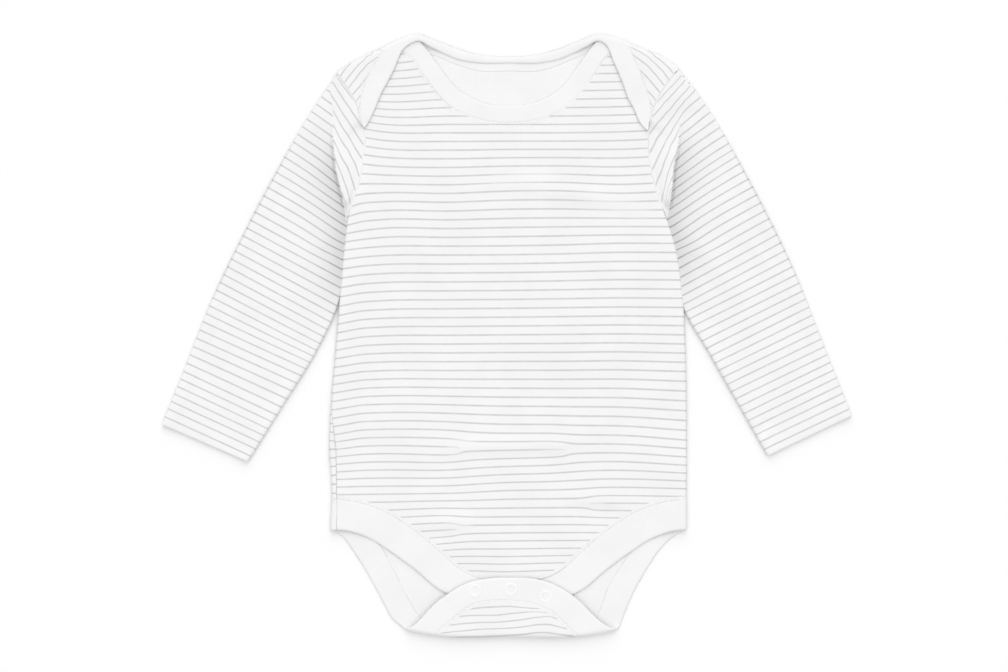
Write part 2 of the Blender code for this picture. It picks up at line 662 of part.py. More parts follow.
def sleeve(side, material, collection):
    """A flattened tube lofted from ring to ring, open at the armhole and the cuff."""
    rows = smooth(SLEEVES[side], FINE)
    at = np.linspace(0, 1, SLEEVE_RINGS + 1) ** RING_CROWDING
    rows = rows[(at * (len(rows) - 1)).astype(int)]
    armholes = []
    for table in (ARMHOLE[side], BACK_ARMHOLE[side]):
        armholes.append(smooth(placed(table, side) + [side * FOLD_GAP, 0], FINE))
    rings = [sleeve_ring(side, share, row, armholes) for share, row in zip(at, rows)]
    name = f"sleeve_{SIDE_NAMES[side]}"
    mesh = bmesh.new()
    loops = [[mesh.verts.new(point) for point in ring] for ring in rings]
    for ring, after in zip(loops, loops[1:]):
        for i in range(len(ring)):
            j = (i + 1) % len(ring)
            quad = (ring[i], ring[j], after[j], after[i])
            mesh.faces.new(quad if side == LEFT else quad[::-1])
    data = bpy.data.meshes.new(name)
    mesh.to_mesh(data)
    mesh.free()
    obj = new_object(name, data, material, collection)
    shell = obj.modifiers.new("Wall", "SOLIDIFY")
    shell.thickness = CLOTH
    shell.offset = 0
    shell.use_even_offset = True
    return obj


def turned_piece(name, profile, place, material, collection):
    """A round piece from a profile of (radius, height), down its outer side."""
    mesh = bpy.data.meshes.new(name)
    closed = profile[0][0] > 0
    edges = [(i, i + 1) for i in range(len(profile) - 1)]
    if closed:
        edges.append((len(profile) - 1, 0))
    mesh.from_pydata([(radius, 0, height) for radius, height in profile], edges, [])
    obj = new_object(name, mesh, material, collection)
    obj.location = place
    screw = obj.modifiers.new("Turn", "SCREW")
    screw.steps = screw.render_steps = TURNED_STEPS
    screw.use_merge_vertices = True
    screw.merge_threshold = WELD
    return obj


def snap(where, material, collection):
    """The ring on the flap, and under it the closed stud and socket."""
    x, y = SNAPS[where]
    x += float(centre_x(y))
    edge = SNAP_RING / 4
    ring = [
        (SNAP_RADIUS - edge, SNAP_RING),
        (SNAP_RADIUS, SNAP_RING - edge),
        (SNAP_RADIUS, 0),
        (SNAP_HOLE, 0),
        (SNAP_HOLE, SNAP_RING - edge),
        (SNAP_HOLE + edge, SNAP_RING),
    ]
    press = [
        (0, SNAP_PRESS),
        (SNAP_PRESS_RADIUS, SNAP_PRESS),
        (SNAP_PRESS_RADIUS, 0),
        (0, 0),
    ]
    above, below = FLAP_TOP + GAP, FRONT_Z + BAND / 2 + GAP
    turned_piece(f"snap_ring_{where}", ring, (x, y, above), material, collection)
    turned_piece(f"snap_press_{where}", press, (x, y, below), material, collection)


def finish(name, colour, roughness):
    material = bpy.data.materials.new(name)
    material.use_nodes = True
    shader = material.node_tree.nodes["Principled BSDF"]
    shader.inputs["Base Color"].default_value = colour
    shader.inputs["Roughness"].default_value = roughness
    shader.inputs["Metallic"].default_value = 0
    return material


def stand_on_origin(collection):
    """Move the garment so that the middle of its underside is over the origin."""
    bpy.context.view_layer.update()
    graph = bpy.context.evaluated_depsgraph_get()
    corners = []
    for obj in collection.objects:
        mesh = obj.evaluated_get(graph).to_mesh()
        points = np.empty(len(mesh.vertices) * 3)
        mesh.vertices.foreach_get("co", points)
        corners.append(points.reshape(-1, 3) + np.array(obj.location))
    points = np.vstack(corners)
    low, high = points.min(axis=0), points.max(axis=0)
    for obj in collection.objects:
        obj.location.x -= (low[0] + high[0]) / 2
        obj.location.y -= (low[1] + high[1]) / 2
        obj.location.z -= low[2]


def main():
    for obj in list(bpy.data.objects):
        bpy.data.objects.remove(obj)
    collection = bpy.data.collections.new("baby_bodysuit")
    bpy.context.scene.collection.children.link(collection)
    knit = finish("striped knit", WHITE_KNIT, 0.9)
    rib = finish("white rib", WHITE_RIB, 0.85)
    enamel = finish("snap enamel", SNAP_WHITE, 0.35)

    flush = 1 - 2 * (CLOTH / 2 - BAND_INSET) / BAND
    back_panel(knit, collection)
    front_panel(knit, collection)
    for side in (LEFT, RIGHT):
        sleeve(side, knit, collection)
    binding("neck_binding_front", neck_front_edges(), lay_front, [], 0, rib, collection)
    binding("leg_binding_front", leg_front_edges(), lay_front, FRONT_FOLDS, 0, rib, collection)
    binding("neck_binding_back", neck_back_edges(), lay_back, [TOP], flush, rib, collection)
    binding(
        "leg_binding_back", leg_back_edges(), lay_back, BACK_FOLDS[1:], flush, rib, collection
    )
    for where in SNAPS:
        snap(where, enamel, collection)
    stand_on_origin(collection)


main()
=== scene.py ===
"""How a baby's long-sleeved bodysuit looks, laid flat on its back with its sleeves down.

The knit pieces, the bindings, their stitching and the snaps are built on the frame's solids, from the
same cut and the same folds at a finer spacing, with the creases, the puckers along the seams, the
stripes and the finish added. Lengths are in metres, and in the tables of places in millimetres. X runs
to the right as the garment is seen, Y towards the neck and Z up from the surface it lies on.
"""

from math import ceil, pi

import bpy
import numpy as np
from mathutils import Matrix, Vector, kdtree
from mathutils.geometry import delaunay_2d_cdt

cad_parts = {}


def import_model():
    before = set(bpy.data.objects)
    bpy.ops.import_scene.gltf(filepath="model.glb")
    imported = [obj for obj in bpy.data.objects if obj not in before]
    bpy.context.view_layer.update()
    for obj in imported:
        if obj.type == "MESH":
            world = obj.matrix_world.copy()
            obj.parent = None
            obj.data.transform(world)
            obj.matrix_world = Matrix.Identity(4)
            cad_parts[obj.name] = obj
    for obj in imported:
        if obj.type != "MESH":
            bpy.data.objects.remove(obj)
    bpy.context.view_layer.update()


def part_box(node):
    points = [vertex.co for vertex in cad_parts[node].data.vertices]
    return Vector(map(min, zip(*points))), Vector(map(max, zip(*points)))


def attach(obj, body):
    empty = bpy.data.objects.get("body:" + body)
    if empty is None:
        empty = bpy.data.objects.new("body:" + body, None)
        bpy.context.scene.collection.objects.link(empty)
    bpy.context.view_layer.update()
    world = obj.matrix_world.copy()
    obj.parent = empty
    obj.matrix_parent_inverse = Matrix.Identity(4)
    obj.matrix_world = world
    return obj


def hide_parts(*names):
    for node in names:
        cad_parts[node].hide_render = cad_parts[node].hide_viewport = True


LEFT, RIGHT = -1, 1
SIDE_NAMES = {LEFT: "left", RIGHT: "right"}

CLOTH = 0.0010  # the knit's wall
BAND = 0.0014  # the bindings' wall, a folded ribbon
GAP = 0.0003  # between layers that touch
SEAM_GAP = 0.00006  # between pieces at a side seam
SEAM_OVERLAP = 0.0003  # how far a panel goes under its binding
SNAP_PRESS = 0.0010  # a closed stud and socket, between tab and flap

# Heights of the middle of each wall, stacked from the layers below it.
BACK_Z = CLOTH / 2
FRONT_Z = BAND + GAP + BAND / 2
LAP_TOP = FRONT_Z + BAND / 2 + GAP + BAND
FLAP_TOP = FRONT_Z + BAND / 2 + GAP + SNAP_PRESS + GAP + BAND
ON_TOP_Z = LAP_TOP / 2  # the back's cloth is folded over where it lies above this

# How far the middle of the cloth turns round at each fold: half the height between its two layers.
SHOULDER_ROLL = (LAP_TOP - CLOTH) / 2
CROTCH_ROLL = (FLAP_TOP - CLOTH) / 2
SIDE_ROLL = SHOULDER_ROLL
SIDE_Z = BACK_Z + 2 * SIDE_ROLL

# Where each fold opens out flat, and the length over which its direction is evened out.
TOP_FOLD_Y = 0.130
CROTCH_FOLD_Y = -0.175
SIDE_FOLD_Y = -0.150
END_Y = 1.0  # beyond the garment
TOP_SPREAD = 0.020
SPREAD = 0.010
NECK_SETTLE = 0.0020  # how far the rolled back neck sinks where no front lies under it
NECK_SETTLE_X = (0.038, 0.058)  # all of it nearer the centre line than the first, none past the second

# The garment's centre line leans a little: x at mid height, and its change for each metre up.
CENTRE_X = 0.0022
CENTRE_LEAN = -0.0049

# Each table gives places as they lie, in millimetres: x outwards from the centre line and y up from mid
# height, unless it says otherwise. What shows was read off the photograph by eye in pixels. A separate
# script turned that into millimetres, and about two thirds of the places differ from its output, because
# they were adjusted by hand or don't show.

# The fold along the shoulders and the back neck, from the middle out to the shoulder point.
TOP_FOLD = {
    LEFT: [(0, 191), (30, 195), (51.5, 203), (62.3, 206.5), (73, 203.5), (86, 197.5), (100, 191),
           (117.5, 180.5)],
    RIGHT: [(0, 191), (30, 195), (51.5, 203), (62.1, 206.5), (72.5, 204.5), (90, 197), (105.5, 191),
            (117.5, 182.5)],
}
# The fold at the crotch, from the middle out to the corner.
CROTCH_FOLD = [(0, -206.5), (50, -205.8), (59, -204.5), (67.5, -202.8), (74.5, -200)]
# The body's sides: y, x of the left edge, x of the right edge, and how far past each edge its side
# seam has rolled towards the front.
SIDES = [
    (84, 110.5, 107, 0, 0), (58.5, 113.5, 114.5, 0, 0), (24.5, 116.5, 119, 0, 0),
    (-10, 119.5, 120.5, 0, 0), (-44, 122.5, 121, 0.5, 0), (-78.5, 124, 121, 5.4, 0),
    (-106, 122.5, 120.7, 4, 0), (-133, 123.5, 120.5, 5, 0),
]
UNDERARM_Y = SIDES[0][0] / 1000
LEG_SEAM_Y = -0.1120  # where the leg bindings' seams meet the side seams
LEG_EDGE_Y = -0.1330  # where their free edges do
# The armhole seam on the front, and on the lap that covers its top, from the shoulder down.
ARMHOLE = {
    LEFT: [(117.5, 180), (112, 171.5), (106.5, 162.5), (103, 154.5), (101.7, 146.5), (99, 136.5),
           (100.3, 120), (102.5, 106.5), (107, 93), (110.5, 84)],
    RIGHT: [(117.5, 182), (112, 177), (107, 170), (102, 161.5), (98, 151.5), (96, 136.5), (96.5, 120),
            (99, 106.5), (103, 93), (107, 84)],
}
# The armhole seam on the back, which the front hides.
BACK_ARMHOLE = {
    LEFT: [(117.5, 180), (110.5, 163), (106.5, 145), (105.5, 125), (107, 103), (110.5, 84)],
    RIGHT: [(117.5, 182), (109, 164), (104, 145), (102.5, 125), (103.5, 103), (107, 84)],
}
# The front neck binding: x, y of its free edge, then x, y of its seam, from the middle out.
FRONT_NECK = [
    (0, 157.8, 0, 146), (13, 158.5, 15.5, 147.3), (33, 167.5, 40, 157.5), (49, 186.5, 59, 180),
    (57.5, 198.5, 66.2, 190.5), (62.3, 203.4, 70.6, 194.2), (70.5, 200.5, 75.8, 194.2),
    (84.5, 194.5, 82, 187.5), (98.5, 187, 93.5, 178.5), (110, 177.5, 105.5, 168),
]
# The back neck binding: x, y of its seam, 1 where the seam lies on top, x, y of its free edge, and 1
# because that lies on top all the way.
BACK_NECK = {
    LEFT: [(0, 181, 0, 0, 186.5, 1), (19.5, 181, 0, 19.5, 186.5, 1), (36, 185.5, 0, 37, 189.8, 1),
           (51.5, 192, 0, 49, 195.3, 1), (67.5, 195.8, 0, 57.5, 200, 1), (75, 197, 0, 62.5, 201.3, 1),
           (86, 194, 1, 72, 195.5, 1), (89.5, 188.5, 1, 76.5, 186, 1), (93.5, 182, 1, 80.5, 177.5, 1),
           (98.5, 170, 1, 86.8, 166, 1), (101.2, 160.3, 1, 90.2, 158, 1),
           (101.3, 152, 1, 93, 151.5, 1), (99.8, 142.8, 1, 97.7, 143, 1)],
    RIGHT: [(0, 181, 0, 0, 186.5, 1), (20.5, 181, 0, 21, 186.5, 1), (35.5, 185.5, 0, 37, 189.8, 1),
            (51, 192, 0, 49, 195.3, 1), (67, 197, 0, 57.5, 200, 1), (75, 198.5, 0, 62.5, 201.3, 1),
            (83.5, 195, 1, 68, 197, 1), (86.2, 188, 1, 71.5, 188.5, 1), (89, 182, 1, 74.5, 181.5, 1),
            (93, 171, 1, 79.5, 168.5, 1), (96, 160.5, 1, 82.8, 160, 1), (97.4, 154, 1, 87.2, 151, 1),
            (96, 145, 1, 90.5, 144.7, 1), (95.3, 140.3, 1, 94, 141, 1)],
}
# The front leg binding: x, y of its seam, then x, y of its free edge, from the middle out.
FRONT_LEG = [
    (0, -169, 0, -185.5), (13, -168, 14, -184.5), (25, -165.5, 31, -182), (35.5, -160, 48.5, -174.5),
    (49, -148, 65, -161), (69, -131.5, 83.5, -147.5), (88, -120, 98, -138.5), (105, -114.3, 111, -134),
]
# The back leg binding: x, y of its seam, 1 where it lies on top, x, y of its free edge and the same.
BACK_LEG = {
    LEFT: [(0, -181, 1, 0, -165.5, 1), (13, -181, 1, 14.5, -166, 1), (24.5, -183, 1, 30, -169.2, 1),
           (38.5, -192, 1, 47, -179.5, 1), (48.5, -200.5, 1, 57.5, -189, 1),
           (58, -198, 0, 74.5, -200, 0), (65, -189.5, 0, 81, -194.5, 0),
           (73.5, -174.5, 0, 88, -182, 0), (83, -155.5, 0, 98.5, -162.5, 0),
           (91.5, -140.5, 0, 106, -150.5, 0), (106, -123.5, 0, 116.5, -136.8, 0)],
    RIGHT: [(0, -181, 1, 0, -165.5, 1), (13, -182.5, 1, 14, -166, 1), (26.5, -187.5, 1, 30, -170.5, 1),
            (37, -196.5, 1, 46, -180.8, 1), (43.5, -203, 1, 55.5, -190.5, 1),
            (55, -198.5, 0, 74, -200, 0), (60, -190, 0, 78, -190, 0), (66.5, -173.5, 0, 84, -176, 0),
            (77, -155.5, 0, 93, -160, 0), (87.5, -141, 0, 101, -148, 0), (103, -123.5, 0, 111, -138, 0)],
}
# The sleeves: x, y of the outer edge, then x, y of the inner edge, from the armhole to the cuff.
SLEEVES = {
    LEFT: [(118, 180, 110.8, 84.5), (139.5, 148.5, 111, 78), (155.5, 123, 111.8, 69),
           (172, 92, 113.2, 55), (188.5, 58, 116.2, 24.5), (205.5, 21, 131.5, -9),
           (223.5, -24.5, 157.5, -51), (238.5, -60.5, 179.5, -86)],
    RIGHT: [(118, 182, 107.5, 84.5), (144, 149.5, 108.8, 78), (161, 119.5, 111.2, 69),
            (179, 82, 115.3, 50), (194, 48, 118.7, 20), (207, 14.5, 136.5, -12),
            (219.5, -18, 154, -43), (234, -54.5, 176, -82)],
}
# The outer edge of the pleat beside the armhole, where it lies over the sleeve: y, x in the frame.
PLEAT_EDGE = {
    LEFT: [(78.9, -109.8), (86.4, -110.6), (94, -111.6), (100, -113.1), (107, -114.6), (113, -116.3),
           (120.6, -117.1), (134.1, -118.5), (154.5, -118.8), (161.3, -120.2), (166.8, -120.6),
           (173.6, -118.8), (179.8, -116.1)],
    RIGHT: [(81, 110.6), (86.7, 111.2), (93.8, 111.9), (100.1, 112.9), (107.2, 113.5), (113.6, 113.8),
            (120, 115.1), (128.9, 117), (143.6, 118.6), (148.8, 119.5), (153.1, 124.3), (157.9, 132.5),
            (163.4, 140.8)],
}
SNAPS = {"left": (-24.5, -174.5), "middle": (0, -173.5), "right": (23.5, -178.5)}

# Folds and creases: x, y of the middle in the frame, half length, half width, height and turn in
# radians. A height below 0 is a trough. The body's soft folds:
SOFT_FOLDS = [
    (5, -76, 45, 6, 1, 0.05), (42, 98, 40, 6.5, 0.9, -0.08), (-45, -128, 20, 5, 0.8, 0.1),
    (65, -112, 25, 5.5, 0.8, -0.1),
]
FRONT_CREASES = [
    (6, 104.5, 33, 4, 0.29, 0.1), (4, 97.5, 30, 3.7, -0.16, 0.1), (70, 90.5, 28, 4.2, 0.24, -0.22),
    (64, 84.5, 24, 3.7, -0.16, -0.2), (0, -74.5, 38, 4.2, 0.23, -0.03),
    (-2, -81.5, 34, 3.7, -0.2, 0.02), (-32, -77, 9, 6.3, 0.24, 0.5), (34, -78, 10, 5, 0.2, -0.4),
    (-35, -130, 16, 3.5, 0.24, 0.15), (-34, -135, 15, 3.5, -0.16, 0.15),
    (62, -114.5, 19, 3.7, 0.24, -0.08), (60, -119.5, 17, 3.5, -0.16, -0.08),
    (107.5, -52.5, 5, 5, -0.29, 0.3), (106, -60.5, 8, 3.7, 0.2, -0.25),
    (-112, -97.5, 6, 3.2, -0.2, -0.35), (-92, -20, 70, 11.2, 0.16, 1.54), (99, -45, 60, 10, 0.16, 1.6),
]
BACK_CREASES = [
    (-40, 60, 40, 4, 0.22, 0.25), (35, 15, 35, 4.5, 0.22, -0.3), (-55, -55, 30, 4, 0.2, -0.15),
    (50, -100, 32, 4, 0.22, 0.2), (10, 125, 45, 5, 0.2, 0.05),
]
SLEEVE_CREASES = {
    LEFT: [(-152, 86, 20, 5, 0.5, -2.2), (-144, 38, 16, 4.5, 0.45, -1.85),
           (-188, -8, 20, 4.5, -0.35, -2), (-208, -56, 12, 3.5, 0.4, -1.6)],
    RIGHT: [(142.7, 48.3, 28, 6, 0.7, -0.96), (133, 44, 22, 4.5, -0.45, -1),
            (173, 56, 18, 4.5, 0.4, -0.9), (190, -25, 17, 4.5, 0.4, -1.3),
            (173.7, -65.1, 9, 2.6, -0.6, 0.87), (177.5, -69, 8, 2.4, 0.5, 0.87)],
}
# Where the front's stripes are faint: the same without the height.
FAINT_PLACES = [
    (12, 108.5, 30, 4.5, 0.1), (75, 89, 26, 6, -0.2), (-31, -75.5, 11, 6, 0.3),
    (33, -76.5, 16, 3.2, -0.1), (58, -115, 10, 3, 0), (-33, -130, 10, 3, 0.1),
]
# Low waves of the laid cloth: radians per metre along x and along y, phase, and height in metres.
WAVES = [
    (41, 23, 0.4, 0.00016), (-29, 57, 2.1, 0.00014), (73, -38, 4, 0.0001), (19, 91, 1.2, 0.0001),
    (-97, 61, 5.2, 0.00006), (131, 83, 3.3, 0.00005),
]

REPEAT = 0.0060  # of the stripes, in the cloth as cut
# The stripes as they lie, in the frame. Each table has the x of its columns. Then each of its rows gives a
# stripe's number and the y of the stripe with that number at each of those x. A separate script turned
# these tables into millimetres, and the pleats' edges and the lost stripes too. About a third of the
# front's y agree with what another script measured on the photograph. The rest were read off or filled in
# where nothing shows.
FRONT_STRIPES_X = (-110.6, -100.4, -86.7, -38.7, -0.3, 36.6, 77.7, 117.5)
FRONT_STRIPES = [
    (-9, 186.5, 186.5, 186, 190.5, 190.5, 190.5, 191, 191.5),
    (0, 143.5, 142.1, 139.8, 138.8, 138.8, 138.8, 139.5, 141.5),
    (3, 125.5, 124.2, 122.3, 121, 121.7, 121.8, 121.5, 123.2),
    (5, 110.5, 110.8, 110, 109.1, 110.3, 110.5, 109.5, 111.4),
    (7, 92.8, 96.4, 97.6, 97.3, 98.9, 99.1, 97.4, 99),
    (9, 80.5, 83.8, 85.3, 85.2, 86.4, 86.7, 86, 86),
    (11, 69.5, 71.4, 73.2, 73.2, 73.9, 74.4, 74.6, 74.4),
    (13, 58.3, 59.6, 60.8, 61.2, 61.4, 62, 63.2, 63),
    (20, 14.5, 16.6, 17.6, 18.3, 18.6, 19, 19.5, 19.2),
    (27, -26.6, -25, -24.2, -24, -23.8, -23.8, -23.5, -24.5),
    (34, -66.7, -64.9, -64.3, -64.9, -67, -67.3, -68.4, -71.2),
    (37, -82.5, -81.5, -81, -81.7, -84.3, -82.9, -86.4, -88.5),
    (41, -103.6, -103.4, -103.2, -102.9, -106.2, -105.6, -109.7, -110.1),
    (44, -119.5, -119.6, -119.6, -118.3, -124.2, -124.1, -124.9, -125.7),
    (48, -140.8, -140.8, -140.8, -137.6, -146.2, -145.8, -145.6, -146.9),
    (51, -156.5, -156.5, -156.5, -151.6, -161.8, -160.6, -159.9, -161.3),
    (54, -172.3, -172.3, -172.3, -166.1, -177.1, -176.4, -175, -176.4),
]
# Where a crease swallows a stripe of the front: x, y, and 1 where the stripe goes on to the left.
LOST_STRIPES = [(-31.9, -77.7, 1), (40.8, -78.4, 1), (57.2, -115.4, -1), (-34.6, -131.9, 1)]
LAP_STRIPES_X = {
    LEFT: (-109.9, -105.1, -100.4, -95.6, -90.8, -86.0),
    RIGHT: (87.3, 92.1, 96.9, 101.7, 106.5, 111.3),
}
LAP_STRIPES = {
    LEFT: [
        (0, 182.6, 187.6, 190.2, 192.8, 195.6, 198.3),
        (1, 174.3, 180.5, 186, 190.8, 194.5, 196.6),
        (2, 166.8, 173.4, 179.8, 185.2, 188.5, 191.3),
        (3, 159.6, 164.9, 170.2, 176.4, 183.4, 188),
        (4, 149.7, 156.5, 163.4, 168.9, 175, 180.5),
    ],
    RIGHT: [
        (0, 199, 196.9, 194.2, 190.8, 187.3, 182.9),
        (1, 196.3, 193.8, 190.9, 186.3, 181.5, 175),
        (2, 191.5, 188, 184.3, 178.8, 172.8, 166.5),
        (3, 185.5, 180.7, 176, 170.2, 164.5, 158.6),
        (4, 177.1, 172.1, 166.9, 161.3, 155.8, 149.7),
    ],
}
FLAP_STRIPES_X = (-42.1, -30.5, -18.2, -6.5, 1.7, 12.0, 20.2, 31.2, 38.7)
FLAP_STRIPES = [
    (0, -189.1, -187.9, -186.2, -185.5, -185.3, -186.3, -186.9, -187.3, -188.7),
    (1, -193.5, -191.8, -191.3, -191.3, -190.2, -189.1, -188.9, -189.9, -192.1),
    (2, -198.3, -197.1, -196.3, -196, -195.3, -194.1, -192.6, -192.4, -195.6),
    (3, -203.2, -202.1, -200.8, -200.4, -200.1, -199.1, -197.8, -198, -199.9),
    (4, -206.2, -205.7, -205.6, -205.2, -204.7, -204.1, -203.1, -203.5, -204.5),
]
PLEAT_STRIPES_X = {
    LEFT: (-118.2, -113.4, -108.6, -103.8, -99.0),
    RIGHT: (98.3, 103.1, 107.9, 112.7, 117.5, 122.3, 127.1, 132.5),
}
PLEAT_STRIPES = {
    LEFT: [
        (1, 181.2, 173.6, 166.5, 159.9, 153.1),
        (2, 172.6, 164.7, 157.6, 150.4, 142.8),
        (3, 161.7, 154.1, 146.9, 139.4, 132.2),
        (4, 153.1, 144.2, 137, 128.4, 121.1),
        (5, 143.5, 134.1, 126.9, 117.8, 103.1),
        (6, 133.2, 122.6, 114.4, 100, 86),
        (7, 124.3, 111.7, 98, 80.5, 68.8),
        (8, 113.4, 99.7, 77.7, 62, 51.7),
    ],
    RIGHT: [
        (-2, 148.6, 153.4, 159.3, 164.3, 169.5, 175, 180.5, 186),
        (-1, 138.4, 145.2, 150.7, 155.8, 161.7, 166.8, 171.6, 177.1),
        (0, 125.5, 134.9, 141.8, 148.3, 155.2, 161, 165.8, 170.2),
        (1, 110.6, 120.2, 130.5, 139.1, 147.1, 154.1, 158.6, 162.7),
        (2, 90.8, 105.8, 118.2, 130.8, 140.1, 147.6, 151.4, 155.5),
        (3, 68.8, 84.6, 99.7, 117.1, 129.1, 140.8, 144.2, 148.3),
        (4, 55.1, 68.8, 82.5, 106.5, 116.8, 133.2, 137, 141.5),
    ],
}
BEYOND = 20  # stripes at an even spacing beyond each end of a table
SIDE_REACH = 8  # how far beyond a table's first and last columns its slopes go on, in millimetres
BACK_STRIPE_Y = 0.1800  # where the back's stripes are counted from
LAP_LOW_Y = 0.1400  # the laps lie above here
# The sleeves' stripes: how far along the outer edge from the armhole, and the number. A separate script
# measured most of those distances on the photograph.
SLEEVE_STRIPES = {
    LEFT: [(-35, -16), (13.2, -8), (61.8, 0), (91.6, 5), (117, 9), (164.4, 17), (193.8, 22),
           (230.4, 28), (258.1, 33), (290, 38.4)],
    RIGHT: [(-35, -8.6), (16.7, 0), (35.2, 3), (60.6, 7), (76.3, 10), (107, 15), (137.7, 20),
            (168.1, 25), (197.8, 30), (226.5, 35), (255, 40), (290, 45.9)],
}
# How much further down a stripe is at the inner edge: along the outer edge, and the share of the depth.
STRIPE_SLANT = {
    LEFT: [(60, 0.03), (120, 0.047), (180, 0.066), (230, 0.056), (260, 0.037)],
    RIGHT: [(60, 0.045), (120, 0.07), (180, 0.095), (260, 0.06)],
}
# The sleeve is drawn in beside the body, and its stripes bend down there.
BEND = 0.0028
BEND_REACH = 0.0220
BEND_Y = {LEFT: ((0.050, 0.070), (0.100, 0.130)), RIGHT: ((0.055, 0.068), (0.115, 0.135))}
STRIPE_STEP = 0.0001  # spacing along the outer edge while the stripes are laid out
END_POINTS = 20  # at each end of that edge, for the direction it runs on in
STRIPES_BEFORE, STRIPES_AFTER = 0.040, 0.030  # how far it runs on

STEP = 0.0020  # spacing of points along an edge
LAST_STEP = STEP / 8  # the least from the last of them but one to the edge's end
FINE = 0.0005  # spacing while an edge is worked out
CURVE_STEPS = 60  # of a smooth curve from one row of its table to the next
ROUNDING = 1e-6
GRID = 0.0012  # spacing of a panel's points near its edges. Further in it's twice that
EDGE_ZONE = 0.0070  # how wide that is
ROLL_ROWS = 9  # facets round a fold's half turn
FOLD_STEP = 0.0015
CHUNK = 3000  # points worked out at a time
WELD = 1e-6  # points nearer than this are one
INSIDE = 1  # a triangulation's setting: keep only what lies inside the border

SIDE_EASE = 0.030  # how far inside a side the front comes down from the side's height
RISE_Y = (0.0900, 0.1400)  # the sides' height dies away here, towards the laps
UNDER_LAPS_Y = (0.145, 0.165)  # the front's creases die away here, towards what covers it
UNDER_FLAP_Y = (-0.150, -0.165)
NECK_END = 0.006  # how far below the neck seam's ends the front meets its armholes' curve
NECK_NEARER = 0.0017  # the stripes go this much nearer to the neck bindings' seams than to the legs'

# The puckers that sewing leaves along a seam.
SEAM_DIP = 0.00008  # how far the cloth goes down into the seam
SEAM_DIP_REACH = 0.0022
PUCKER = 0.00024
PUCKER_START = 0.0010  # how far from the seam they are at their full depth
PUCKER_REACH = 0.0045
PUCKER_SPACING = 0.0043
PUCKER_DRIFT = [(1.9, 71), (1.3, 173)]  # how the spacing wanders: radians, and radians per metre
PUCKER_UNEVEN = [(47, 1), (113, 0)]  # how the depth does: radians per metre, and phase
PUCKER_MEAN = 0.55  # of the full depth

BAND_STEP = 0.0010
BAND_COLUMNS = 16
BAND_EDGE = 0.0014  # how far in a binding's edge rounds off
BAND_PUCKER = 0.4 * PUCKER
BAND_PUCKER_REACH = 0.004
SEAM_SHARE = CLOTH / BAND  # of its thickness that a binding keeps at its seam, to end level with the cloth
EDGE_REST = 0.6  # how far a binding's edge sinks on to the layer below, as a share of half its wall
# The back neck binding's free edge sinks to the height of the back where no front lies under it.
SAG_X = (0.040, 0.055)  # all the way nearer the centre line than the first, not at all past the second
SAG_Z = CLOTH + GAP + BAND / 2
SAG_ACROSS = (0.3, 1.0)  # from the seam to the free edge

SLEEVE_ROLL = 0.0012  # at the sleeves' folds, past the armhole
SLEEVE_BACK_Z = BACK_Z + 0.0001  # the back layer's middle, a touch above the surface
SLEEVE_Z = 0.0021  # the front layer's middle between its folds
SLEEVE_EASE = 0.010  # how far inside a fold the layer settles to that
SLEEVE_TUCK = 0.0003  # how far a sleeve's edge goes under the panel's at the armhole
SEAM_EASE = 0.006  # how far from the armhole the sleeve leaves the seam's height
LAP_END_Y = (0.141, 0.149)  # above here the sleeve's seam is on the lap, and below it on the front
ARMHOLE_FADE = 0.6  # share of the sleeve's length over which the armhole's curve dies away
SHOULDER_FADE = 0.12  # and over which the shoulder's high fold does
UNDERARM_TRIM = 0.0008  # how far from the underarm the sleeve's edge turns round its inner fold
SLEEVE_RINGS = 210
RING_CROWDING = 1.25  # above 1 puts the rings closer together near the armhole
SLEEVE_FRONT = 76  # facets across the front layer
SLEEVE_BACK = 36
SLEEVE_TURN = 7  # facets round a sleeve's fold
CUFF_NOSE = 4  # facets round the cuff's edge

PLEAT_Z = 0.0066  # the middle of the pleat's wall at its edge
PLEAT_TIP_Y = (0.0855, 0.0935)  # where its height grows from the underarm
PLEAT_FADE_Y = {LEFT: (0.115, 0.150), RIGHT: (0.110, 0.145)}  # where it dies away
PLEAT_LOW = 0.0003  # its height over the sleeve above there
PLEAT_ENDS = 0.004  # how far from the armhole its edge rises
PLEAT_FALL = 0.0025  # how far past its edge it's down to the sleeve
PLEAT_VALLEY = 0.0006
PLEAT_VALLEY_WIDTH = 0.0080
PLEAT_CLOSE = 3  # how fast it narrows to nothing below its edge's last place
PAINTED_SHADE_REACH = 0.0130  # how far from the body and the pleat the sleeve's knit gets painted shade
# Where up the sleeve the painted shade shows: its soft lower and upper limits.
PAINTED_SHADE_Y = {LEFT: ((0.005, 0.050), (0.105, 0.150)), RIGHT: ((0.005, 0.070), (0.110, 0.150))}

THREAD = 0.00016  # the thread's radius
STITCH = 0.0022
STITCH_GAP = 0.0007
STITCH_ROWS = (0.0009, 0.0021)  # how far from the binding's seam
THREAD_SIDES = 6
# A stitch's sections: the share of its length, and its height and radius as shares of the thread's.
STITCH_SECTIONS = [(0, -1.2, 0.6), (0.18, 0, 1), (0.5, 0.2, 1.1), (0.82, 0, 1), (1, -1.2, 0.6)]
NORMAL_STEP = 0.0002  # between the places that a laid panel's direction is taken from

SNAP_RADIUS = 0.0049
SNAP_HOLE = 0.0023
SNAP_HEIGHT = 0.00026  # how far the ring stands out of the flap
SNAP_STEPS = 48
SNAP_ARC = 12  # facets across the ring's rounded face

# Each material's two greys, the scale at which they drift into each other, and how softly they do.
KNIT_TONES = ((0.800, 0.782), 35, 0.15)
RIB_TONES = ((0.785, 0.767), 45, 0.15)
THREAD_TONES = ((0.83, 0.77), 700, 0.2)
ENAMEL_TONES = ((0.795, 0.78), 300, 0.2)
FLOOR_TONES = ((0.841, 0.838), 3, 0)
STRIPE_GREY = 0.53
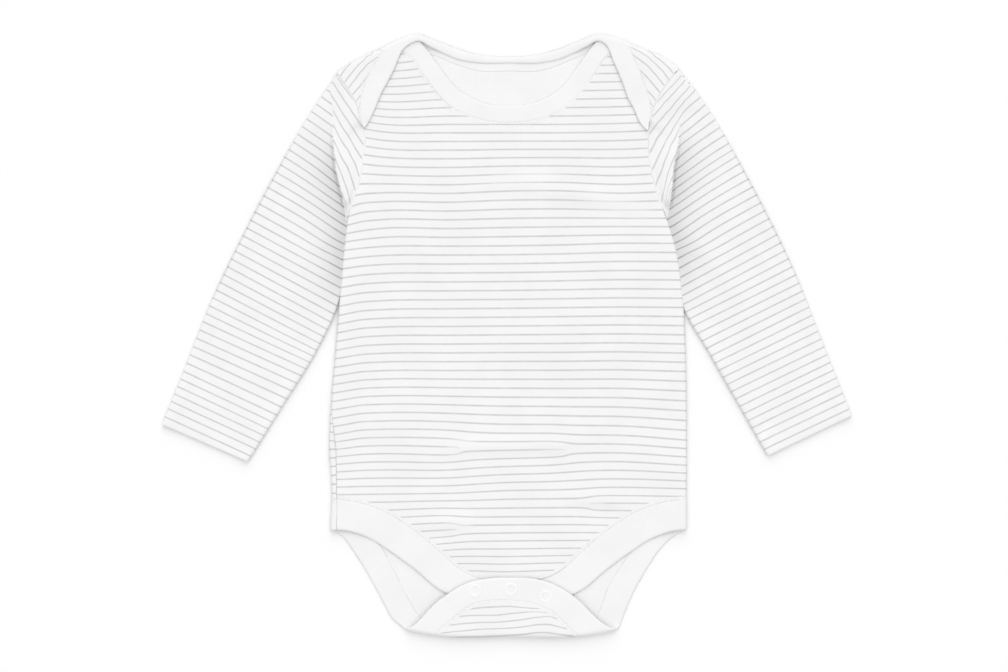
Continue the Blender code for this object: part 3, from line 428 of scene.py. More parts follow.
# Painted shade: the sleeve's knit and its stripes are darker beside the pleat and the body, where shade
# falls in the hollow.
PAINTED_SHADE_GREY = 0.590
PAINTED_SHADE_STRIPE_GREY = 0.270
STRIPE_HALF = 0.00052
STRIPE_SOFT = 0.00034
STRIPE_STOP = 0.0027  # the stripes don't show nearer than this to a binding's seam, under its stitches
ARMHOLE_STOP = 0.0009
STOP_SOFT = 0.0003
WRONG_STRENGTH = 0.03  # of the stripes on the knit's wrong side
FAINT_STRENGTH = 0.45
UNEVEN_STRENGTH, UNEVEN_SCALE = 0.80, 160  # the least along a stripe, and how fast it changes
WALE = 0.00085  # between the columns of the jersey's stitches
COURSE = REPEAT / 8  # between its rows
LOOP_HEIGHT = 0.00006
LOOP_LEAN = 0.5  # how far a loop leans over along the next, as a share of a row
LOOP_ROWS = 0.25  # how deep the rows are beside the columns
LOOP_FUZZ, LOOP_FUZZ_SCALE = 0.6, 1400  # and the fuzz
RIB = 0.0013  # between the binding's ribs
RIB_HEIGHT = 0.00002
RIB_ROWS = 0.2  # how deep the knit's rows are beside the ribs
RIB_FUZZ, RIB_FUZZ_SCALE = 0.8, 900
THREAD_HEIGHT, THREAD_SCALE = 0.00004, 2600
ENAMEL_HEIGHT, ENAMEL_SCALE = 0.00003, 900
ENAMEL_GLOSS, ENAMEL_GLOSS_SCALE = (0.45, 0.6), 500
VALLEY = 0.0024  # where the stitching pulls the cloth down, from the seam
VALLEY_WIDTH = 0.0004
VALLEY_DEPTH = 0.00006
SHEEN = 0.12

# The picture: its size in pixels, what a pixel spans at the garment, and the pixel of the tables' origin.
IMAGE_WIDTH, IMAGE_HEIGHT = 1008, 672
PIXEL = 0.000685
TABLE_U, TABLE_V = 506.5, 335.5
LENS, SENSOR = 100, 36  # in millimetres
CLIP_END = 20
WORLD_LIGHT = 0.62
# The lights: strength, the angle each spans, and its lean from straight above to the picture's top.
LIGHTS = {"softbox": (1.00, 0.9, 0.92), "overhead": (1.18, 1.4, 0)}
FLOOR_HALF, FLOOR_Z = 3.0, -0.0001


def centre_x(y):
    return CENTRE_X + CENTRE_LEAN * np.asarray(y)


def placed(points, side):
    """Places out from the centre line in millimetres, as x and y in metres. Columns come in pairs."""
    points = np.array(points, float) / 1000
    for column in range(0, points.shape[1], 2):
        points[:, column] = centre_x(points[:, column + 1]) + side * points[:, column]
    return points


def from_end_to_end(rows):
    """One run of rows from the left end to the right end, of a run from the middle for each side."""
    return np.concatenate([rows[LEFT][:0:-1], rows[RIGHT]])


def both_sides(table):
    """A table from the middle out, for each side or for both, as one run of placed rows."""
    tables = table if isinstance(table, dict) else {LEFT: table, RIGHT: table}
    return from_end_to_end({side: placed(tables[side], side) for side in SIDE_NAMES})


def lengths(line):
    """How far along a line each of its points is."""
    return np.concatenate([[0], np.cumsum(np.linalg.norm(np.diff(line, axis=0), axis=1))])


def sampled(line, along, at):
    """A line's columns at other lengths than its points' own."""
    return np.column_stack([np.interp(at, along, column) for column in line.T])


def at_shares(line, shares):
    return sampled(line, np.arange(len(line)), shares * (len(line) - 1))


def evenly(line, step):
    """The same line with its points a step apart or a little less."""
    along = lengths(line)
    return sampled(line, along, np.linspace(0, along[-1], max(2, ceil(along[-1] / step) + 1)))


def curve(low, high, low_slope, high_slope, u):
    """A smooth run from low to high as u goes from 0 to 1, with these slopes at its ends."""
    run = low * (1 + 2 * u) * (1 - u) ** 2 + high * (3 - 2 * u) * u**2
    return run + low_slope * u * (1 - u) ** 2 - high_slope * u**2 * (1 - u)


def smooth(rows, step):
    """Points a step apart along a smooth curve through the rows."""
    rows = np.array(rows, float)
    at = lengths(rows)
    slope = np.gradient(rows, at, axis=0)
    fine = np.linspace(0, at[-1], CURVE_STEPS * (len(at) - 1))
    piece = np.clip(np.searchsorted(at, fine, side="right") - 1, 0, len(at) - 2)
    width = np.diff(at)[piece][:, None]
    u = (fine - at[piece])[:, None] / width
    line = curve(rows[piece], rows[piece + 1], width * slope[piece], width * slope[piece + 1], u)
    return evenly(line, step)


def unit(vectors):
    return vectors / np.maximum(np.linalg.norm(vectors, axis=-1, keepdims=True), 1e-12)


def ease(low, high, value):
    """A soft step from 0 at low to 1 at high."""
    t = np.clip((value - low) / (high - low), 0, 1)
    return t * t * (3 - 2 * t)


def between(low, high, value):
    """1 between two soft limits, each given by its ends, down to 0 below and above them."""
    return ease(*low, value) * (1 - ease(*high, value))


def fading(away, reach, power=1.5):
    """1 close by, dying away over this reach."""
    return np.exp(-((away / reach) ** power))


def in_runs(work, points):
    """What work gives for the points, which get it a run at a time to spare memory."""
    return np.concatenate([work(run) for run in np.array_split(points, ceil(len(points) / CHUNK))])


class Fold:
    """A fold of the cloth along an outline. Beyond it the cloth turns over and lies back on itself."""

    REACH = 0.060  # how far the fold's line runs on past its ends
    FADE = 0.010  # over which the fold opens out at its limits

    def __init__(self, outline, roll, outward, low_y, high_y, spread):
        line = smooth(outline, FINE)
        start, end = unit(line[0] - line[1]), unit(line[-1] - line[-2])
        line = np.vstack([line[0] + start * self.REACH, line, line[-1] + end * self.REACH])
        line = evenly(line, FINE)
        along = unit(np.gradient(line, axis=0))
        out = np.column_stack([along[:, 1], -along[:, 0]]) * outward
        self.line = line - out * CLOTH / 2
        # The cloth turns over along directions that change slowly, so that a deep lap stays whole.
        reach = round(spread / FINE)
        ends = np.pad(out, ((reach, reach), (0, 0)), mode="edge")
        window = np.ones(2 * reach + 1) / (2 * reach + 1)
        self.out = unit(np.column_stack([np.convolve(column, window, "valid") for column in ends.T]))
        self.roll, self.low_y, self.high_y = roll, low_y, high_y

    def past(self, points):
        """How far each point lies beyond the fold's line, and the way out there."""

        def of_run(run):
            away = run[:, None, :] - self.line[None, :, :]
            across = away[:, :, 0] * self.out[:, 1] - away[:, :, 1] * self.out[:, 0]
            near = np.abs(across).argmin(axis=1)
            out = self.out[near]
            return np.column_stack([((run - self.line[near]) * out).sum(axis=1), out])

        found = in_runs(of_run, points)
        return found[:, 0], found[:, 1:]

    def moves(self, cut, up):
        """How far each point moves when the cloth turns over (up is 1) or under (up is -1)."""
        past, out = self.past(cut)
        round_it = np.maximum(past + self.roll, 0)
        angle = np.minimum(round_it / self.roll, pi)
        lies = self.roll * np.sin(angle) - np.maximum(round_it - pi * self.roll, 0)
        limits = (self.low_y, self.low_y + self.FADE), (self.high_y - self.FADE, self.high_y)
        rise = up * self.roll * (1 - np.cos(angle))
        moves = np.column_stack([(lies - round_it)[:, None] * out, rise])
        return moves * between(*limits, cut[:, 1])[:, None]

    def unfold(self, points):
        """Places in the cut of points given as they lie on top."""
        past, out = self.past(points)
        return points + out * ((pi - 2) * self.roll - 2 * past)[:, None]

    def rows(self, points):
        """The facet round the fold that each point falls in, to put points where the facets meet."""
        past, _ = self.past(points)
        facet = np.floor((past + self.roll) / (pi * self.roll / ROLL_ROWS)) + 1
        here = (points[:, 1] > self.low_y) & (points[:, 1] < self.high_y)
        return np.where(here, np.clip(facet, 0, ROLL_ROWS + 1), 0)

    def stations(self, past):
        """Points a step apart along the fold, this far beyond its line."""
        keep = slice(None, None, round(FOLD_STEP / FINE))
        line = self.line[keep] + self.out[keep] * past
        return line[(line[:, 1] > self.low_y) & (line[:, 1] < self.high_y)]


def side_fold(side):
    line = placed([(row[1 if side == LEFT else 2], row[0]) for row in SIDES], side)
    return Fold(line, SIDE_ROLL, -side, SIDE_FOLD_Y, UNDERARM_Y + Fold.FADE, SPREAD)


TOP = Fold(both_sides(TOP_FOLD), SHOULDER_ROLL, -1, TOP_FOLD_Y, END_Y, TOP_SPREAD)
CROTCH = Fold(both_sides(CROTCH_FOLD), CROTCH_ROLL, 1, -END_Y, CROTCH_FOLD_Y, SPREAD)
SIDE = {side: side_fold(side) for side in SIDE_NAMES}
FRONT_FOLDS = [SIDE[LEFT], SIDE[RIGHT]]
BACK_FOLDS = [TOP, CROTCH, *FRONT_FOLDS]


def side_seam(side, y, panel):
    """The side seam's place in the cut of the back (panel 1) or the front (panel -1)."""
    fold = SIDE[side]
    rows = np.array(SIDES)[::-1] / 1000
    rolled = np.interp(y, rows[:, 0], rows[:, 3 if side == LEFT else 4])
    order = np.argsort(fold.line[:, 1])
    place = sampled(np.hstack([fold.line, fold.out])[order], fold.line[order, 1], y)
    past = (pi / 2 - 1) * SIDE_ROLL + panel * rolled - SEAM_GAP / 2
    return place[:, :2] + place[:, 2:] * past[:, None]


def end_rows(side, panel):
    return np.column_stack([side_seam(side, [y], panel) for y in (LEG_SEAM_Y, LEG_EDGE_Y)])


def leg_front_rows():
    rows = {side: np.vstack([placed(FRONT_LEG, side), end_rows(side, -1)]) for side in SIDE_NAMES}
    return from_end_to_end(rows)


def back_rows(tables, fold, ends):
    """A back binding's seam and free edge in the cut, from the left end to the right end."""
    rows = {}
    for side in SIDE_NAMES:
        table = np.array(tables[side], float)
        lines = []
        for first in (0, 3):
            line, on_top = placed(table[:, first : first + 2], side), table[:, first + 2 : first + 3]
            lines.append(np.where(on_top > 0, fold.unfold(line), line))
        rows[side] = np.vstack([np.hstack(lines), *ends(side)])
    return from_end_to_end(rows)


# Where each binding is sewn on: its seam and free edge in the cut, and the folds that they go over.
SEAMS = {
    "neck_binding_front": (both_sides(FRONT_NECK)[:, [2, 3, 0, 1]], []),
    "leg_binding_front": (leg_front_rows(), FRONT_FOLDS),
    "neck_binding_back": (back_rows(BACK_NECK, TOP, lambda side: []), [TOP]),
    "leg_binding_back": (back_rows(BACK_LEG, CROTCH, lambda side: [end_rows(side, 1)]), BACK_FOLDS[1:]),
}


def oval(plan, x, y, length, width, turn):
    """1 at the middle of a long oval place given in millimetres, down to 0 outside it."""
    x, y = plan[:, 0] * 1000 - x, plan[:, 1] * 1000 - y
    along, across = x * np.cos(turn) + y * np.sin(turn), y * np.cos(turn) - x * np.sin(turn)
    return np.exp(-((along / length) ** 4) - (across / width) ** 2)


def creases(plan, table):
    height = np.zeros(len(plan))
    for x, y, length, width, rise, turn in table:
        height += rise / 1000 * oval(plan, x, y, length, width, turn)
    return height


def waves(plan):
    """The laid cloth's own unevenness."""
    return sum(size * np.sin(x * plan[:, 0] + y * plan[:, 1] + phase) for x, y, phase, size in WAVES)


def resting(plan):
    """The unevenness of cloth that rests on the surface, and so never dips below it."""
    return (waves(plan) + sum(size for *_, size in WAVES)) / 2


def lifted(laid):
    """The laid cloth's own unevenness, less of it where it rests on the surface."""
    share = ease(BACK_Z, ON_TOP_Z, laid[:, 2])
    return resting(laid) * (1 - share) + waves(laid) * share


def front_rise(laid):
    """The front's unevenness and creases, none of it under the laps and the flap."""
    covered = ease(*UNDER_LAPS_Y, laid[:, 1]) + ease(*UNDER_FLAP_Y, laid[:, 1])
    return (waves(laid) + creases(laid, FRONT_CREASES)) * np.clip(1 - covered, 0, 1)


def front_height(plan):
    """Height of the middle of the front's wall: raised along the sides, with soft folds."""
    height = FRONT_Z + creases(plan, SOFT_FOLDS)
    fade = 1 - ease(*RISE_Y, plan[:, 1])
    for fold in FRONT_FOLDS:
        past, _ = fold.past(plan)
        inside = np.maximum(-past - SIDE_ROLL, 0)
        height += (SIDE_Z - FRONT_Z) * fade * (1 - ease(0, SIDE_EASE, inside))
    return height


def from_centre(plan):
    return np.abs(plan[..., 0] - centre_x(plan[..., 1]))


def lay_back(cut):
    """The middle of the back's wall once its sides, laps and flap are folded."""
    laid = np.column_stack([cut, np.full(len(cut), BACK_Z)])
    laid += sum(fold.moves(cut, 1) for fold in BACK_FOLDS)
    settles = (1 - ease(*NECK_SETTLE_X, from_centre(laid))) * (laid[:, 1] > TOP.low_y)
    laid[:, 2] -= NECK_SETTLE * settles * ease(CLOTH, LAP_TOP - CLOTH, laid[:, 2])
    return laid


def lay_front(cut):
    """The middle of the front's wall, its sides turned down to meet the back."""
    laid = np.column_stack([cut, front_height(cut)])
    return laid + sum(fold.moves(cut, -1) for fold in FRONT_FOLDS)


def stations(edge, folds):
    """Points a step apart along an edge, and wherever a fold's facets meet. Gives their numbers."""
    along = lengths(edge)
    step = along[-1] / max(1, round(along[-1] / STEP))
    number = np.floor(along / step + ROUNDING)
    keep = np.append(True, number[1:] != number[:-1])
    for fold in folds:
        facet = fold.rows(edge)
        keep[1:] |= facet[1:] != facet[:-1]
    at = np.flatnonzero(keep)
    return np.append(at[along[-1] - along[at] > LAST_STEP], len(edge) - 1)


def seam_and_way(name, step):
    """A binding's seam in the cut, and the way from there into its panel."""
    line = smooth(SEAMS[name][0], step)
    return line[:, :2], unit(line[:, :2] - line[:, 2:])


def panel_edge(name):
    """The edge of the panel that this binding is sewn to, in the cut."""
    seam, way = seam_and_way(name, FINE / 2)
    return (seam - way * SEAM_OVERLAP)[stations(seam, SEAMS[name][1])]


def within(points, loop):
    """Which points lie inside the closed edge."""
    ax, ay = loop[:, 0], loop[:, 1]
    bx, by = np.roll(ax, -1), np.roll(ay, -1)

    def of_run(run):
        x, y = run[:, :1], run[:, 1:]
        with np.errstate(divide="ignore", invalid="ignore"):
            at = ax + (y - ay) / (by - ay) * (bx - ax)
        return (((ay > y) != (by > y)) & (x < at)).sum(axis=1) % 2 == 1

    return in_runs(of_run, points)


def nearest(points, line):
    """For each point, the number of the nearest point of the line, and its distance."""
    tree = kdtree.KDTree(len(line))
    for number, point in enumerate(line):
        tree.insert((*point, 0)[:3], number)
    tree.balance()
    found = [tree.find((*point, 0)[:3])[1:] for point in points]
    return np.array([hit[0] for hit in found]), np.array([hit[1] for hit in found])


def fill_points(loop, folds):
    """Points inside the cut: an even grid, closer near the edges, and rows round each fold."""
    low, high = loop.min(axis=0), loop.max(axis=0)
    rise = GRID * np.sqrt(3) / 2
    j, i = np.mgrid[0 : ceil((high[1] - low[1]) / rise), 0 : ceil((high[0] - low[0]) / GRID)]
    i, j = i.ravel() - j.ravel() // 2, j.ravel()
    points = np.column_stack([low[0] + (i + j / 2) * GRID, low[1] + j * rise])
    inside = within(points, loop)
    points, coarse = points[inside], ((i % 2 == 0) & (j % 2 == 0))[inside]
    edge = evenly(np.vstack([loop, loop[:1]]), FINE)
    _, away = nearest(points, edge)
    points = points[(away > GRID / 2) & (coarse | (away < EDGE_ZONE))]
    for fold in folds:
        facet = fold.rows(points)
        points = points[(facet == 0) | (facet > ROLL_ROWS)]
    found = [points]
    for fold in folds:
        for row in range(ROLL_ROWS + 1):
            line = fold.stations(-fold.roll + row * pi * fold.roll / ROLL_ROWS)
            line = line[within(line, loop)]
            found.append(line[nearest(line, edge)[1] > fold.roll / ROLL_ROWS])
    return np.vstack(found)


def puckers(along, drift):
    """From 0 to 1 across each pucker, this far along a seam."""
    phase = 2 * pi * along / PUCKER_SPACING
    for turn, rate in drift:
        phase = phase + turn * np.sin(along * rate)
    return (1 - np.sin(phase)) / 2


def dip(away, depth):
    """How far the cloth goes down beside a seam, this far away from it."""
    return depth * (1 - ease(0, SEAM_DIP_REACH, away)) ** 1.5


def seam_relief(cut, seams):
    """How far the cloth lies below its even face near its seams: a dip, and puckers across it."""
    number, away = nearest(cut, np.vstack([evenly(seam, FINE) for seam in seams]))
    along = number * FINE
    first, second = (np.sin(along * rate + phase) for rate, phase in PUCKER_UNEVEN)
    uneven = PUCKER_MEAN + (1 - PUCKER_MEAN) * first * second
    depth = PUCKER * ease(0, PUCKER_START, away) * fading(away, PUCKER_REACH)
    return dip(away, SEAM_DIP) + depth * uneven * puckers(along, PUCKER_DRIFT)


def lost_phase(x, y, lost):
    """The part of a stripe's number that goes round the places where a crease swallows one."""
    phase = np.zeros(np.shape(x))
    for at_x, at_y, way in lost:
        phase = phase - way * np.arctan2(x - at_x, y - at_y) / (2 * pi)
    return phase


def stripe_number(plan, columns, rows, lost=()):
    """The number of the stripe at each place, without the part that goes round lost stripes."""
    x, y = plan[:, 0] * 1000, plan[:, 1] * 1000
    columns, rows = np.array(columns), np.array(rows)
    above = rows[0] + BEYOND * np.array([-1] + [REPEAT * 1000] * len(columns))
    below = rows[-1] + BEYOND * np.array([1] + [-REPEAT * 1000] * len(columns))
    rows = np.vstack([below, rows[::-1], above])
    at = []
    for column, height in zip(columns, rows.T[1:]):
        at.append(np.interp(y, height, rows[:, 0] - lost_phase(column, height, lost)))
    at = np.array(at)
    slope = np.gradient(at, columns, axis=0)
    x = np.clip(x, columns[0] - SIDE_REACH, columns[-1] + SIDE_REACH)
    piece = np.clip(np.searchsorted(columns, x, side="right") - 1, 0, len(columns) - 2)
    every = np.arange(len(x))
    width = np.diff(columns)[piece]
    whole = (x - columns[piece]) / width
    u = np.clip(whole, 0, 1)
    slopes = width * slope[piece, every], width * slope[piece + 1, every]
    end = np.where(whole < 0, slope[0, every], slope[-1, every]) * (whole - u)
    return curve(at[piece, every], at[piece + 1, every], *slopes, u) + width * end


def face_corners(mesh):
    """The point at each face corner, and the point at the first corner of the same face."""
    corners = np.empty(len(mesh.loops), int)
    mesh.loops.foreach_get("vertex_index", corners)
    starts, counts = np.empty((2, len(mesh.polygons)), int)
    mesh.polygons.foreach_get("loop_start", starts)
    mesh.polygons.foreach_get("loop_total", counts)
    return corners, np.repeat(corners[starts], counts)


def write_map(mesh, name, u, number):
    """Keep each face corner's place in the cut: across in metres, and the stripes' number."""
    layer = mesh.uv_layers.new(name=name)
    layer.data.foreach_set("uv", np.column_stack([u, number * REPEAT]).ravel())


def write_value(mesh, name, values):
    attribute = mesh.attributes.new(name, "FLOAT", "POINT")
    attribute.data.foreach_set("value", np.asarray(values, float))


def new_mesh(name, points, faces):
    mesh = bpy.data.meshes.new(name)
    mesh.from_pydata(np.asarray(points).reshape(-1, 3).tolist(), [], faces)
    return mesh


def new_object(mesh, materials):
    mesh.shade_smooth()
    for material in materials:
        mesh.materials.append(material)
    obj = bpy.data.objects.new(mesh.name, mesh)
    bpy.context.scene.collection.objects.link(obj)
    return obj


def round_panel(neck, leg, armholes, panel, folds):
    """A panel's edges in one closed run, from the left end of the neck seam anticlockwise."""
    sides = {}
    for side, armhole in armholes.items():
        y = np.append(np.arange(UNDERARM_Y, LEG_SEAM_Y + SEAM_GAP, -FINE), LEG_SEAM_Y + SEAM_GAP)
        edge = side_seam(side, y, panel)
        sides[side] = [armhole[stations(armhole, folds)], edge[stations(edge, FRONT_FOLDS)]]
    run = [*sides[LEFT], leg, *[edge[::-1] for edge in sides[RIGHT][::-1]], neck[::-1]]
    starts = [edge[0] for edge in run[1:]] + [run[0][0]]
    return [np.vstack([edge[:-1], start]) for edge, start in zip(run, starts)]


def panel_mesh(name, edges, folds, lay, outward, shape):
    """A panel's mesh with its relief, its points in the cut and as laid, and its area.

    The shape gives how much of the seams' relief shows at each point, and how far the cloth rises.
    """
    loop = np.vstack([edge[:-1] for edge in edges])
    cut = np.vstack([loop, fill_points(loop, folds)])
    border = [(i, (i + 1) % len(loop)) for i in range(len(loop))]
    points, _, faces, *_ = delaunay_2d_cdt(cut.tolist(), border, [], INSIDE, WELD)
    cut = np.array([tuple(point) for point in points])
    laid = lay(cut)
    mesh = new_mesh(name, laid, [face[::outward] for face in faces])
    normals = np.empty(laid.size)
    mesh.vertices.foreach_get("normal", normals)
    share, rise = shape(laid)
    points = laid - normals.reshape(-1, 3) * (seam_relief(cut, edges) * share)[:, None]
    points[:, 2] += rise
    mesh.vertices.foreach_set("co", points.ravel())
    mesh.update()
    (x, y), (next_x, next_y) = loop.T, np.roll(loop, 1, axis=0).T
    return mesh, cut, laid, abs(np.dot(x, next_y) - np.dot(y, next_x)) / 2


def finished_panel(mesh, cut, edges, area, knit):
    """The panel as an object with its wall, and how far each point is from the seams."""
    shoulder_left, _, leg, _, shoulder_right, neck = (evenly(edge, FINE) for edge in edges)
    from_binding = np.minimum(nearest(cut, leg)[1], nearest(cut, neck)[1] + NECK_NEARER)
    write_value(mesh, "Binding seam", from_binding)
    write_value(mesh, "Armhole seam", nearest(cut, np.vstack([shoulder_left, shoulder_right]))[1])
    obj = new_object(mesh, knit)
    wall = obj.modifiers.new("Wall", "SOLIDIFY")
    wall.thickness = CLOTH
    wall.offset = 0
    wall.use_even_offset = True
    wall.material_offset = 1
    wall.material_offset_rim = 1
    return obj, tuple(float(side) for side in np.ptp(cut, axis=0)), area


def write_back_stripes(mesh, cut, laid):
    """The back's stripes: even where it lies under the front, and as they show on the laps and flap."""
    x, y, z = laid.T
    shown = [(FLAP_STRIPES_X, FLAP_STRIPES, y < CROTCH.high_y)]
    for side in SIDE_NAMES:
        shown.append((LAP_STRIPES_X[side], LAP_STRIPES[side], (y > LAP_LOW_Y) & (side * x > 0)))
    numbers, part = [(BACK_STRIPE_Y - cut[:, 1]) / REPEAT], np.zeros(len(cut), int)
    for count, (columns, rows, here) in enumerate(shown, 1):
        numbers.append(stripe_number(laid, columns, rows))
        part[here & (z > ON_TOP_Z)] = count
    corners, first = face_corners(mesh)
    write_map(mesh, "Cut", cut[corners, 0], np.array(numbers)[part[first], corners])


def back_shape(laid):
    creased = creases(laid, BACK_CREASES) * (laid[:, 2] < CLOTH)
    return ease(BACK_Z, ON_TOP_Z, laid[:, 2]), lifted(laid) + creased


def back_knit(knit):
    """The back, cut in one with the shoulder laps and the crotch flap."""
    neck, leg = panel_edge("neck_binding_back"), panel_edge("leg_binding_back")
    armholes = {}
    for side, lap_end in ((LEFT, neck[0]), (RIGHT, neck[-1])):
        lap = TOP.unfold(placed(ARMHOLE[side][1:5], side))[::-1]
        armholes[side] = smooth(np.vstack([lap_end, lap, placed(BACK_ARMHOLE[side], side)[1:]]), FINE)
    edges = round_panel(neck, leg, armholes, 1, BACK_FOLDS)
    mesh, cut, laid, area = panel_mesh("back_knit", edges, BACK_FOLDS, lay_back, -1, back_shape)
    write_back_stripes(mesh, cut, laid)
    return finished_panel(mesh, cut, edges, area, knit)


def front_knit(knit):
    """The front, from its neck seam under the laps down to the tab's seam."""
    neck, leg = panel_edge("neck_binding_front"), panel_edge("leg_binding_front")
    armholes = {}
    for side, neck_end in ((LEFT, neck[0]), (RIGHT, neck[-1])):
        armhole = smooth(placed(ARMHOLE[side], side), FINE)
        armholes[side] = np.vstack([neck_end, armhole[armhole[:, 1] < neck_end[1] - NECK_END]])
    edges = round_panel(neck, leg, armholes, -1, FRONT_FOLDS)
    mesh, cut, _, area = panel_mesh(
        "front_knit", edges, FRONT_FOLDS, lay_front, 1, lambda laid: (1, front_rise(laid))
    )
    write_value(mesh, "Faint", np.max([oval(cut, *place) for place in FAINT_PLACES], axis=0))
    corners, first = face_corners(mesh)
    turn = lost_phase(*cut.T * 1000, LOST_STRIPES)
    turns = turn[corners] - np.round(turn[corners] - turn[first])
    number = stripe_number(cut, FRONT_STRIPES_X, FRONT_STRIPES, LOST_STRIPES)
    write_map(mesh, "Cut", cut[corners, 0], number[corners] + turns)
    return finished_panel(mesh, cut, edges, area, knit)


def loft_faces(rings, count, flipped, closed=False):
    """Faces that join each ring of points to the next, and the last to the first where that is closed."""
    here = np.arange(rings * count).reshape(rings, count)
    after = np.roll(here, -1, axis=0)
    quads = np.stack([here, np.roll(here, -1, axis=1), np.roll(after, -1, axis=1), after], axis=2)
    quads = quads[: rings if closed else rings - 1].reshape(-1, 4)
    return (quads[:, ::-1] if flipped else quads).tolist()


def binding(name, lay, outward, rib, sags=False):
    """A binding: a soft flat tube lofted along its seam, with rounded edges."""
    line = smooth(SEAMS[name][0], BAND_STEP)
    seam, free = line[:, :2], line[:, 2:]
    across = (1 - np.cos(np.linspace(0, pi, BAND_COLUMNS + 1))) / 2
    cut = seam[:, None, :] + (free - seam)[:, None, :] * across[None, :, None]
    middle = lay(cut.reshape(-1, 2)).reshape(*cut.shape[:2], 3)
    if sags:
        clear = ease(*SAG_ACROSS, across) * (1 - ease(*SAG_X, from_centre(middle)))
        middle[:, :, 2] -= np.maximum(middle[:, :, 2] - SAG_Z, 0) * clear
    normal = unit(np.cross(np.gradient(middle, axis=0), np.gradient(middle, axis=1))) * outward

    width = np.linalg.norm(free - seam, axis=1)[:, None]
    along = np.broadcast_to(lengths(seam)[:, None], cut.shape[:2])
    rounds = 1 - np.minimum(np.minimum(across, 1 - across) * width / BAND_EDGE, 1)
    left = SEAM_SHARE * (across < 0.5)
    full = left + (1 - left) * np.sqrt(1 - rounds**2)
    rest = EDGE_REST * np.clip(normal[:, :, 2], 0, 1) * (across > 0.5)
    over, under = (BAND / 2 * (sinks + (1 - sinks) * full) for sinks in (-rest, rest))
    pucker = puckers(along, PUCKER_DRIFT[:1]) * fading(across * width, BAND_PUCKER_REACH)
    over = over - BAND_PUCKER * pucker

    def all_round(top, bottom):
        return np.concatenate([top, bottom[:, -2:0:-1]], axis=1)

    ring = all_round(middle + normal * over[:, :, None], middle - normal * under[:, :, None])
    rise = lifted(middle.reshape(-1, 3)).reshape(over.shape)
    # The binding is pressed flat where it rests on the surface.
    ring[:, :, 2] = np.maximum(ring[:, :, 2] + all_round(rise, rise), 0)
    count = ring.shape[1]
    ends = [list(range(count)), list(range((len(ring) - 1) * count, len(ring) * count))]
    ends[0 if outward > 0 else 1].reverse()
    mesh = new_mesh(f"{name}_rib", ring, loft_faces(len(ring), count, outward > 0) + ends)
    u, v = (all_round(value, value).ravel() for value in (along, across * width))
    corners, _ = face_corners(mesh)
    write_map(mesh, "Cut", u[corners], v[corners] / REPEAT)
    size = (float(width.mean()), float(along[-1, 0]))
    return new_object(mesh, [rib]), size, size[0] * size[1]


def pleat_inside(side, plan):
    """How far each place is inside the edge of the pleat beside the armhole. Outside it's below 0."""
    y, x = np.array(PLEAT_EDGE[side]).T / 1000
    inside = side * (np.interp(plan[:, 1], y, x) - plan[:, 0])
    return inside - np.maximum(y[0] - plan[:, 1], 0) * PLEAT_CLOSE


def sleeve_top(side, plan, off, seam_height, across):
    """Height of the front layer's middle: the folds' height at its sides, and the pleat."""
    low = SLEEVE_BACK_Z + 2 * SLEEVE_ROLL - SLEEVE_Z
    from_fold = np.minimum(across, across[-1] - across)
    sleeve = SLEEVE_Z + low * (1 - ease(0, SLEEVE_EASE, from_fold)) + resting(plan)
    sleeve += creases(plan, SLEEVE_CREASES[side])
    inside = pleat_inside(side, plan)
    share = off / (off + np.maximum(inside, 0) + ROUNDING)
    high = between(PLEAT_TIP_Y, PLEAT_FADE_Y[side], plan[:, 1])
    crest = (PLEAT_Z - sleeve) * high + PLEAT_LOW * (1 - high)
    pleat = seam_height + (sleeve + crest - seam_height) * ease(0, 1, share)
    edge = sleeve + crest * (1 - ease(0, PLEAT_FALL, -inside)) * ease(0, PLEAT_ENDS, off)
    edge -= PLEAT_VALLEY * high * fading(-inside - PLEAT_FALL, PLEAT_VALLEY_WIDTH, 2)
    return seam_height + (np.where(inside > 0, pleat, edge) - seam_height) * ease(0, SEAM_EASE, off)


